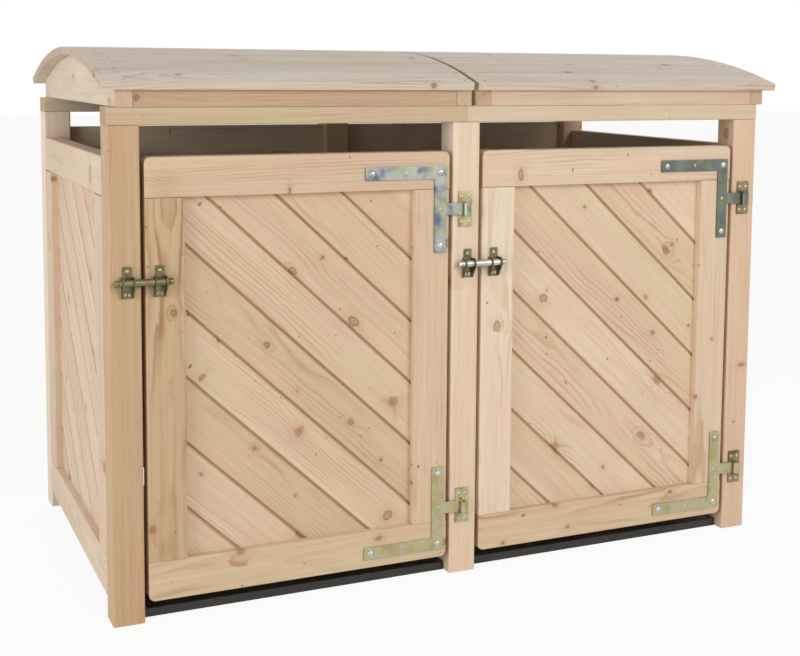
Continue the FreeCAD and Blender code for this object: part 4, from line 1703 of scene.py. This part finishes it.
    def bracket(self, node: str) -> Workpiece:
        """Shape a bolt bracket: a back plate with a tab for a screw and two bored cheeks."""
        low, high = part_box(node)
        rod_low, rod_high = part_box(f"{self.side}_bolt_rod")
        rod_y, rod_z = (rod_low.y + rod_high.y) / 2, (rod_low.z + rod_high.z) / 2
        bore = (rod_high.z - rod_low.z) / 2 + self.bore_play
        middle, face = (low.x + high.x) / 2, high.y
        cheek_top = high.z - self.tab_height
        half_tab, half = self.tab_width / 2, (high.x - low.x) / 2
        outline = [
            (-half, low.z), (half, low.z), (half, cheek_top), (half_tab, cheek_top),
            (half_tab, high.z), (-half_tab, high.z), (-half_tab, cheek_top), (-half, cheek_top),
        ]
        plate = Workpiece.prism(outline, 0.0, self.bracket_plate)
        plate.round_edges(
            lambda a, b: near(a.x, b.x) and near(a.y, b.y) and (near(a.y, high.z) or near(a.y, low.z)),
            self.plate_corner, 3,
        )
        plate.placed(against_face(middle, face)).faced_outwards()
        bevel = self.cheek_bevel
        cheek_outline = [
            (face, low.z), (face, cheek_top), (low.y + bevel, cheek_top), (low.y, cheek_top - bevel),
            (low.y, rod_z - bevel), (face - self.cheek_foot, low.z),
        ]
        for left in (low.x, high.x - self.cheek_thickness):
            cheek = Workpiece.prism(cheek_outline, left, left + self.cheek_thickness)
            cheek.placed(SWEEP_TO_X).faced_outwards()
            cheek.round_edges(lambda a, b: near(a.x, b.x) and a.y < face - SAME_PLACE, self.cheek_ease, 1)
            plate.combined(cheek, "UNION")
        length = 2 * half + 0.01
        hole = Workpiece.turned([(0.0, 0.0), (bore, 0.0), (bore, length), (0.0, length)], 32)
        hole.placed(to_right(low.x - 0.005, rod_y, rod_z))
        return plate.combined(hole, "DIFFERENCE")

    def build_bolt(self) -> None:
        """Make the sliding bolt: its bar with rounded ends, its guide and its keep."""
        node = f"{self.side}_bolt_rod"
        low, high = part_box(node)
        radius, length = (high.z - low.z) / 2, high.x - low.x
        steps, ease = 4, self.knob_ease
        turns = [math.pi / 2 * step / steps for step in range(steps + 1)]
        lower = [(self.knob_radius - ease + ease * math.sin(t), ease - ease * math.cos(t)) for t in turns]
        lower += [
            (self.knob_radius, self.knob_length),
            (self.neck_radius, self.knob_length + 0.0015),
            (self.neck_radius, self.knob_length + 0.0035),
            (radius - 0.0004, self.knob_length + 0.0045),
            (radius, self.knob_length + 0.0055),
        ]
        upper = [(r, length - h) for r, h in reversed(lower)]
        bar = Workpiece.turned([(0.0, 0.0), *lower, *upper, (0.0, length)], 36)
        bar.placed(to_right(low.x, (low.y + high.y) / 2, (low.z + high.z) / 2))
        bundle = Bundle()
        bundle.add(bar)
        self.placer.dress(node, bundle, self.rod_finish)
        for name in ("guide", "keep"):
            node = f"{self.side}_bolt_{name}"
            bundle = Bundle()
            bundle.add(self.bracket(node))
            self.placer.dress(node, bundle, BRACKET_ZINC)

    def build_fasteners(self) -> None:
        """Make the coach bolts, their nuts and the screws of the door and of the posts beside it."""
        heads, nuts, door_screws, post_screws = Bundle(), Bundle(), Bundle(), Bundle()
        front = self.face - self.strap_thickness
        for corner_z, way in self.corners.values():
            inset = self.corner_bolt_inset
            level = corner_z + way * inset
            places = (
                (self.left + self.bolt_inset, level),
                (self.right - inset, level),
                (self.right - inset, corner_z + way * (self.strap_arm - self.bolt_inset)),
            )
            for x, z in places:
                heads.add(self.kit.coach_head_piece(to_front(x, front, z)))
                nuts.add(self.kit.coach_nut(to_back(x, self.door_back, z)))
            middle = self.eye_level(corner_z, way)
            for x, z in ((self.right - inset, middle), (self.left + self.strap_arm / 2, level)):
                door_screws.add(self.kit.screw(to_front(x, front, z)))
            low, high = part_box(f"{self.side}_door_pintles")
            plate_front = self.face - self.plate_thickness
            for x in (low.x + self.pintle_screw_inset, high.x - self.pintle_screw_inset):
                for z in (middle + self.pintle_screw_above, middle - self.pintle_screw_below):
                    post_screws.add(self.kit.screw(to_front(x, plate_front, z)))
        for name, screws in (("guide", door_screws), ("keep", post_screws)):
            low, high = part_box(f"{self.side}_bolt_{name}")
            middle = (low.x + high.x) / 2
            plate_front = self.face - self.bracket_plate
            screws.add(self.kit.screw(to_front(middle, plate_front, high.z - self.screw_inset)))
            for x in (middle - self.foot_screw_spread, middle + self.foot_screw_spread):
                screws.add(self.kit.screw(to_front(x, plate_front, low.z + self.foot_screw_rise)))
        door = f"{self.side}_door"
        self.placer.place(f"{door}_coach_bolts", heads, BOLT_ZINC, door)
        self.placer.place(f"{door}_coach_nuts", nuts, BOLT_ZINC, door)
        self.placer.place(f"{door}_screws", door_screws, SCREW_ZINC, door)
        self.placer.place(f"{self.side}_post_screws", post_screws, SCREW_ZINC, "frame")


@dataclass
class Lid:
    """A curved lid: two arched gables, two rails, slats and its hinge halves."""

    placer: Placer
    side: str
    kit: FastenerKit
    front_overhang: float = 0.018
    rear_overhang: float = 0.045
    edge_height: float = 0.053
    crown_height: float = 0.132
    slat_thickness: float = 0.018
    planed_off: float = 0.0004
    slat_width: float = 0.091
    slat_gap: float = 0.0012
    smallest_end_slat: float = 0.050
    arris: float = 0.0022
    nose_arris: float = 0.0025
    gable_arris: float = 0.002
    arc_steps: int = 40
    nail_inset: float = 0.018
    nail_scatter: float = 0.004
    slat_end_ease: float = 0.0012
    # Painted shade on the slats' long edges: full in the gaps between slats, less on the rounded noses that
    # face down over the rails.
    joint_painted_shade: float = 1.0
    nose_painted_shade: float = 0.45

    def __post_init__(self) -> None:
        """Work out the arch from the carcase's size."""
        low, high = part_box("front_left_header")
        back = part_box("rear_left_header")[1].y
        half_span = (back - low.y + self.front_overhang + self.rear_overhang) / 2
        rise = self.crown_height - self.edge_height
        self.outer_radius = (half_span ** 2 + rise ** 2) / (2 * rise)
        self.inner_radius = self.outer_radius - self.slat_thickness
        self.half_span = half_span
        middle_y = low.y - self.front_overhang + half_span
        self.centre = Vector((0.0, middle_y, high.z + self.crown_height - self.outer_radius))

    def build(self) -> None:
        """Make every timber of the lid and its nails."""
        for name in ("left_gable", "right_gable", "front_rail", "rear_rail"):
            self.make_arched_block(f"{self.side}_lid_{name}", name.endswith("gable"))
        self.make_slats()

    def make_arched_block(self, node: str, is_gable: bool) -> None:
        """Make a gable or a rail, whose top follows the arch.

        Args:
            node: The frame node that it stands for.
            is_gable: True for a gable, whose grain runs to the back.
        """
        low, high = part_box(node)
        steps = self.arc_steps if is_gable else 4
        depths = [high.y + (low.y - high.y) * step / steps for step in range(steps + 1)]
        top = [
            (y, self.centre.z + math.sqrt(self.inner_radius ** 2 - (y - self.centre.y) ** 2)) for y in depths
        ]
        block = Workpiece.prism([(low.y, low.z), (high.y, low.z), *top], low.x, high.x)
        block.placed(SWEEP_TO_X)
        block.round_edges(lambda a, b: near(a.x, b.x), self.gable_arris, 2)
        timbers = TimberBundle(node)
        if is_gable:
            out = -X_AXIS if "left_gable" in node else X_AXIS
            timbers.add_timber(block, Y_AXIS, out, Cut.FLAT)
        else:
            timbers.add_timber(block, X_AXIS, -Y_AXIS, Cut.QUARTER)
        self.placer.dress(node, timbers, GABLE_LARCH)

    def slat_plan(self) -> list[tuple[float, float]]:
        """Return the lean and width of each slat from the front edge to the back one."""
        half = math.asin(self.half_span / self.outer_radius)
        pitch = 2 * math.atan(self.slat_width / 2 / self.inner_radius) + self.slat_gap / self.inner_radius
        least = self.smallest_end_slat / self.inner_radius
        count = int((2 * half - 2 * least) / pitch)
        end = half - count * pitch / 2
        end_width = end * self.inner_radius - self.slat_gap
        plan = [(-half + end / 2, end_width)]
        plan += [((index - (count - 1) / 2) * pitch, self.slat_width) for index in range(count)]
        return [*plan, (half - end / 2, end_width)]

    def make_slats(self) -> None:
        """Make the slats and the nails that hold them to the gables."""
        node = f"{self.side}_lid_slats"
        low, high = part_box(node)
        gables = [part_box(f"{self.side}_lid_{name}_gable") for name in ("left", "right")]
        timbers, nails = TimberBundle(node), Bundle()
        plan = self.slat_plan()
        is_long = runs_along(X_AXIS)
        top = self.slat_thickness - self.planed_off
        for index, (lean, width) in enumerate(plan):
            nose = {0: -1, len(plan) - 1: 1}.get(index, 0)
            half = width / 2 - self.planed_off
            slat = Workpiece.block(Vector((low.x, -half, 0.0)), Vector((high.x, half, top)))
            if nose:
                slat.round_edges(
                    lambda a, b: is_long(a, b) and near(a.y, nose * half) and near(a.z, top),
                    self.nose_arris, 4,
                )
            slat.round_edges(
                lambda a, b: is_long(a, b) and abs(a.y) > half - SAME_PLACE
                and (near(a.z, 0.0) or near(a.z, top)) and not near(a.y, nose * half),
                self.arris, 3,
            )
            slat.round_edges(lambda a, b: near(a.x, b.x), self.slat_end_ease, 1)
            out = Vector((0.0, math.sin(lean), math.cos(lean)))
            seat = self.centre + out * self.inner_radius
            matrix = Matrix.Translation(seat) @ Matrix.Rotation(-lean, 4, "X")
            slat.placed(matrix)
            cut = timbers.draw.choice((Cut.FLAT, Cut.RIFT, Cut.QUARTER))
            # Painted shade on the long edges, weaker on the end slats with their downward facing noses.
            edge_shade = self.nose_painted_shade if nose else self.joint_painted_shade
            timbers.add_timber(slat, X_AXIS, out, cut, edge_shade)
            for gable_low, gable_high in gables:
                for offset in (-half + self.nail_inset, half - self.nail_inset):
                    scatter = timbers.draw.uniform(-self.nail_scatter, self.nail_scatter)
                    x = (gable_low.x + gable_high.x) / 2 + scatter
                    nails.add(self.kit.nail(matrix @ Matrix.Translation((x, offset, top))))
        self.placer.dress(node, timbers, SLAT_LARCH)
        self.placer.place(f"{self.side}_lid_nails", nails, NAIL_STEEL, self.placer.node_body[node])


@dataclass
class ButtHinges:
    """The butt hinges at the back: leaves, knuckles, pins and screws."""

    placer: Placer
    kit: FastenerKit
    length: float = 0.070
    leaf_thickness: float = 0.0025
    barrel_radius: float = 0.005
    pin_radius: float = 0.0025
    knuckle_gap: float = 0.0004
    corner: float = 0.003
    screw_shares: Triple = (0.16, 0.5, 0.84)
    screw_reach: float = 0.58
    screw_stagger: float = 0.0035
    leaf_play: float = 0.0005
    neck_lap: float = 0.001
    pin_end: float = 0.0005
    barrel_ease: float = 0.12

    def build(self) -> None:
        """Make the fixed halves in one piece and each lid's halves in another."""
        fixed_low, fixed_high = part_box("rear_hinge_leaves")
        self.axis_y = fixed_high.y - self.barrel_radius
        self.axis_z = fixed_high.z - self.barrel_radius
        self.wall = fixed_low.y
        fixed, screws = Bundle(), Bundle()
        for side in ("left", "right"):
            node = f"{side}_lid_hinge_leaves"
            low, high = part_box(node)
            moving, lid_screws = Bundle(), Bundle()
            down, up = self.axis_z - fixed_low.z, high.z - self.axis_z
            for x in (low.x, high.x - self.length):
                fixed.add(self.half(x, -down, True))
                moving.add(self.half(x, up, False))
                for share in self.screw_shares:
                    for target, way, reach in ((screws, -1, down), (lid_screws, 1, up)):
                        shift = self.screw_stagger if share == 0.5 else -self.screw_stagger
                        z = self.axis_z + way * (reach * self.screw_reach + shift)
                        place = to_back(x + self.length * share, self.wall + self.leaf_thickness, z)
                        target.add(self.kit.screw(place))
            self.placer.dress(node, moving, HINGE_ZINC)
            self.placer.place(f"{side}_lid_hinge_screws", lid_screws, SCREW_ZINC, f"{side}_lid")
        self.placer.dress("rear_hinge_leaves", fixed, HINGE_ZINC)
        self.placer.place("rear_hinge_screws", screws, SCREW_ZINC, "frame")

    def half(self, x: float, reach: float, outer: bool) -> Workpiece:
        """Shape one half of a hinge.

        Args:
            x: The hinge's left end.
            reach: How far the leaf goes up, or down where it is negative.
            outer: True for the two outer knuckles with the pin, False for the middle one.

        Returns:
            The half in the frame's axes.
        """
        third, gap = self.length / 3, self.knuckle_gap / 2
        outer_z = self.axis_z + reach
        start = math.copysign(self.barrel_radius + self.leaf_play, reach)
        leaf = self.strip(x, x + self.length, self.axis_z + start, outer_z)
        leaf.round_edges(
            lambda a, b: near(a.x, b.x) and near(a.z, b.z) and near(a.z, outer_z), self.corner, 4
        )
        spans = [(third + gap, 2 * third - gap)]
        if outer:
            spans = [(0.0, third - gap), (2 * third + gap, self.length)]
        neck_z = self.axis_z + start + math.copysign(self.neck_lap, reach)
        for low, high in spans:
            leaf.combined(self.strip(x + low, x + high, self.axis_z, neck_z), "UNION")
            leaf.combined(self.barrel(x + low, x + high, self.barrel_radius), "UNION")
        if outer:
            pin = self.barrel(x - self.pin_end, x + self.length + self.pin_end, self.pin_radius)
            leaf.combined(pin, "UNION")
        return leaf

    def strip(self, left: float, right: float, first_z: float, second_z: float) -> Workpiece:
        """Return a flat length of leaf on the wall between two heights."""
        low_z, high_z = sorted((first_z, second_z))
        return Workpiece.block(
            Vector((left, self.wall, low_z)), Vector((right, self.wall + self.leaf_thickness, high_z))
        )

    def barrel(self, low: float, high: float, radius: float) -> Workpiece:
        """Return a round length along the hinge's axis with eased ends."""
        length, ease = high - low, radius * self.barrel_ease
        profile = [(0.0, 0.0), (radius - ease, 0.0), (radius, ease), (radius, length - ease)]
        bar = Workpiece.turned([*profile, (radius - ease, length), (0.0, length)], 28)
        return bar.placed(to_right(low, self.axis_y, self.axis_z))


@dataclass(frozen=True)
class PhotoCamera:
    """The photograph's camera, placed from the front left post's outer corner, lengths in metres."""

    place: Triple = (-0.5292, -2.7826, 1.2200)
    yaw: float = 24.12
    pitch: float = -5.71
    roll: float = 0.48
    focal_pixels: float = 1311.5
    centre_pixels: tuple[float, float] = (416.9, 200.6)
    sensor_width: float = 36.0

    def build(self) -> None:
        """Make the camera and give it to the scene."""
        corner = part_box("front_left_post")[0]
        yaw, pitch, roll = (math.radians(angle) for angle in (self.yaw, self.pitch, self.roll))
        forward = Vector((math.sin(yaw) * math.cos(pitch), math.cos(yaw) * math.cos(pitch), math.sin(pitch)))
        right = Vector((math.cos(yaw), -math.sin(yaw), 0.0))
        up = right.cross(forward)
        tilted_right = right * math.cos(roll) + up * math.sin(roll)
        tilted_up = up * math.cos(roll) - right * math.sin(roll)
        rotation = Matrix((tilted_right, tilted_up, -forward)).transposed()
        data = bpy.data.cameras.new("photo_camera")
        data.sensor_fit = "HORIZONTAL"
        data.sensor_width = self.sensor_width
        data.lens = self.focal_pixels / IMAGE_WIDTH * self.sensor_width
        data.shift_x = (IMAGE_WIDTH / 2 - self.centre_pixels[0]) / IMAGE_WIDTH
        data.shift_y = (self.centre_pixels[1] - IMAGE_HEIGHT / 2) / IMAGE_WIDTH
        data.clip_start = 0.05
        data.clip_end = 200.0
        camera = new_object("photo_camera", data)
        camera.matrix_world = Matrix.Translation(corner + Vector(self.place)) @ rotation.to_4x4()
        bpy.context.scene.camera = camera


@dataclass
class Studio:
    """The pale floor, the pale surroundings and the soft lamps."""

    floor_size: float = 60.0
    floor_colour: Colour = (0.86, 0.82, 0.75, 1.0)
    floor_glow: float = 0.92
    sky_colour: Colour = (1.0, 0.99, 0.98, 1.0)
    sky_light: float = 0.47
    key_power: float = 90.0
    key_colour: Triple = (1.0, 1.0, 1.0)
    side_power: float = 76.0
    side_colour: Triple = (0.96, 1.0, 1.06)

    def build(self) -> None:
        """Make the floor, the sky and the lamps."""
        self.make_floor()
        self.make_sky()
        self.make_lamp("key_lamp", Vector((1.7, -4.7, 2.8)), 2.0, self.key_power, self.key_colour)
        self.make_lamp("side_lamp", Vector((-4.5, -1.9, 1.4)), 2.4, self.side_power, self.side_colour)

    def make_floor(self) -> None:
        """Lay a pale floor that shows the store's shadow softly."""
        half = self.floor_size / 2
        data = bpy.data.meshes.new("studio_floor")
        corners = [(-half, -half, 0.0), (half, -half, 0.0), (half, half, 0.0), (-half, half, 0.0)]
        data.from_pydata(corners, [], [(0, 1, 2, 3)])
        material = bpy.data.materials.new("studio_floor_paint")
        material.use_nodes = True
        material.node_tree.nodes.clear()
        graph = Graph(material.node_tree)
        diffuse = graph.add("BsdfDiffuse", {"Color": self.floor_colour})
        glow = graph.add("Emission", {"Color": (1.0, 1.0, 1.0, 1.0), "Strength": 1.0})
        rays = graph.add("LightPath")
        seen = graph.math("MAXIMUM", rays.outputs["Is Camera Ray"], rays.outputs["Is Glossy Ray"])
        share = graph.times(seen, self.floor_glow)
        mixed = graph.add("MixShader", {0: share, 1: diffuse.outputs[0], 2: glow.outputs[0]})
        graph.add("OutputMaterial", {"Surface": mixed.outputs[0]})
        data.materials.append(material)
        new_object("studio_floor", data)

    def make_sky(self) -> None:
        """Surround the store with an even pale light that looks white to the camera."""
        world = bpy.data.worlds.new("studio_sky")
        world.use_nodes = True
        world.node_tree.nodes.clear()
        graph = Graph(world.node_tree)
        rays = graph.add("LightPath")
        light = graph.add("Background", {"Color": self.sky_colour, "Strength": self.sky_light})
        white = graph.add("Background", {"Color": (1.0, 1.0, 1.0, 1.0), "Strength": 1.0})
        seen = graph.math("MAXIMUM", rays.outputs["Is Camera Ray"], rays.outputs["Is Glossy Ray"])
        seen = graph.math("MAXIMUM", seen, rays.outputs["Is Transmission Ray"])
        mixed = graph.add("MixShader", {0: seen, 1: light.outputs[0], 2: white.outputs[0]})
        graph.add("OutputWorld", {"Surface": mixed.outputs[0]})
        bpy.context.scene.world = world

    @staticmethod
    def make_lamp(
        name: str, place: Vector, size: float, power: float, colour: Triple
    ) -> None:
        """Hang a square soft lamp that looks at the store's middle.

        Args:
            name: The lamp's name.
            place: Where it hangs.
            size: The length of its side.
            power: Its power in watts.
            colour: Its light's colour.
        """
        data = bpy.data.lights.new(name, "AREA")
        data.color = colour
        data.size = size
        data.energy = power
        lamp = new_object(name, data)
        aim = Vector((0.0, 0.0, 0.6)) - place
        lamp.matrix_world = Matrix.Translation(place) @ aim.to_track_quat("-Z", "Y").to_matrix().to_4x4()


def door_panel(placer: Placer, side: str) -> FramedPanel:
    """Return the framed panel of a door."""
    door = f"{side}_door"
    return FramedPanel(
        placer, Facing.FRONT,
        {"top": f"{door}_top_rail", "bottom": f"{door}_bottom_rail"},
        {"left": f"{door}_latch_stile", "right": f"{door}_hinge_stile"},
        f"{door}_boards", corner_radius=0.014,
    )


def fixed_panel(placer: Placer, name: str, facing: Facing) -> FramedPanel:
    """Return a framed panel between two posts."""
    rails, stiles = f"{name}_rails", f"{name}_stiles"
    return FramedPanel(
        placer, facing, {"top": rails, "bottom": rails}, {"left": stiles, "right": stiles},
        f"{name}_boards",
    )


def main() -> None:
    """Build the whole scene in order."""
    logging.basicConfig(level=logging.INFO, format="%(name)s: %(message)s")
    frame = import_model()
    placer = Placer(frame)
    kit = FastenerKit()
    Carcase(placer).build()
    for name, facing in (
        ("left_side", Facing.LEFT), ("right_side", Facing.RIGHT),
        ("left_back", Facing.BACK), ("right_back", Facing.BACK),
    ):
        fixed_panel(placer, name, facing).build()
    for side, *finishes in (
        ("left", DULL_ROD_ZINC, SILVER_STRAP_ZINC, PINTLE_ZINC),
        ("right", BRIGHT_ROD_ZINC, GREY_STRAP_ZINC, BROWN_PINTLE_ZINC),
    ):
        door_panel(placer, side).build()
        DoorIronwork(placer, side, kit, *finishes).build()
        Lid(placer, side, kit).build()
    ButtHinges(placer, kit).build()
    Studio().build()
    PhotoCamera().build()
    bpy.context.scene.view_settings.view_transform = "Standard"


if __name__ == "__main__":
    main()
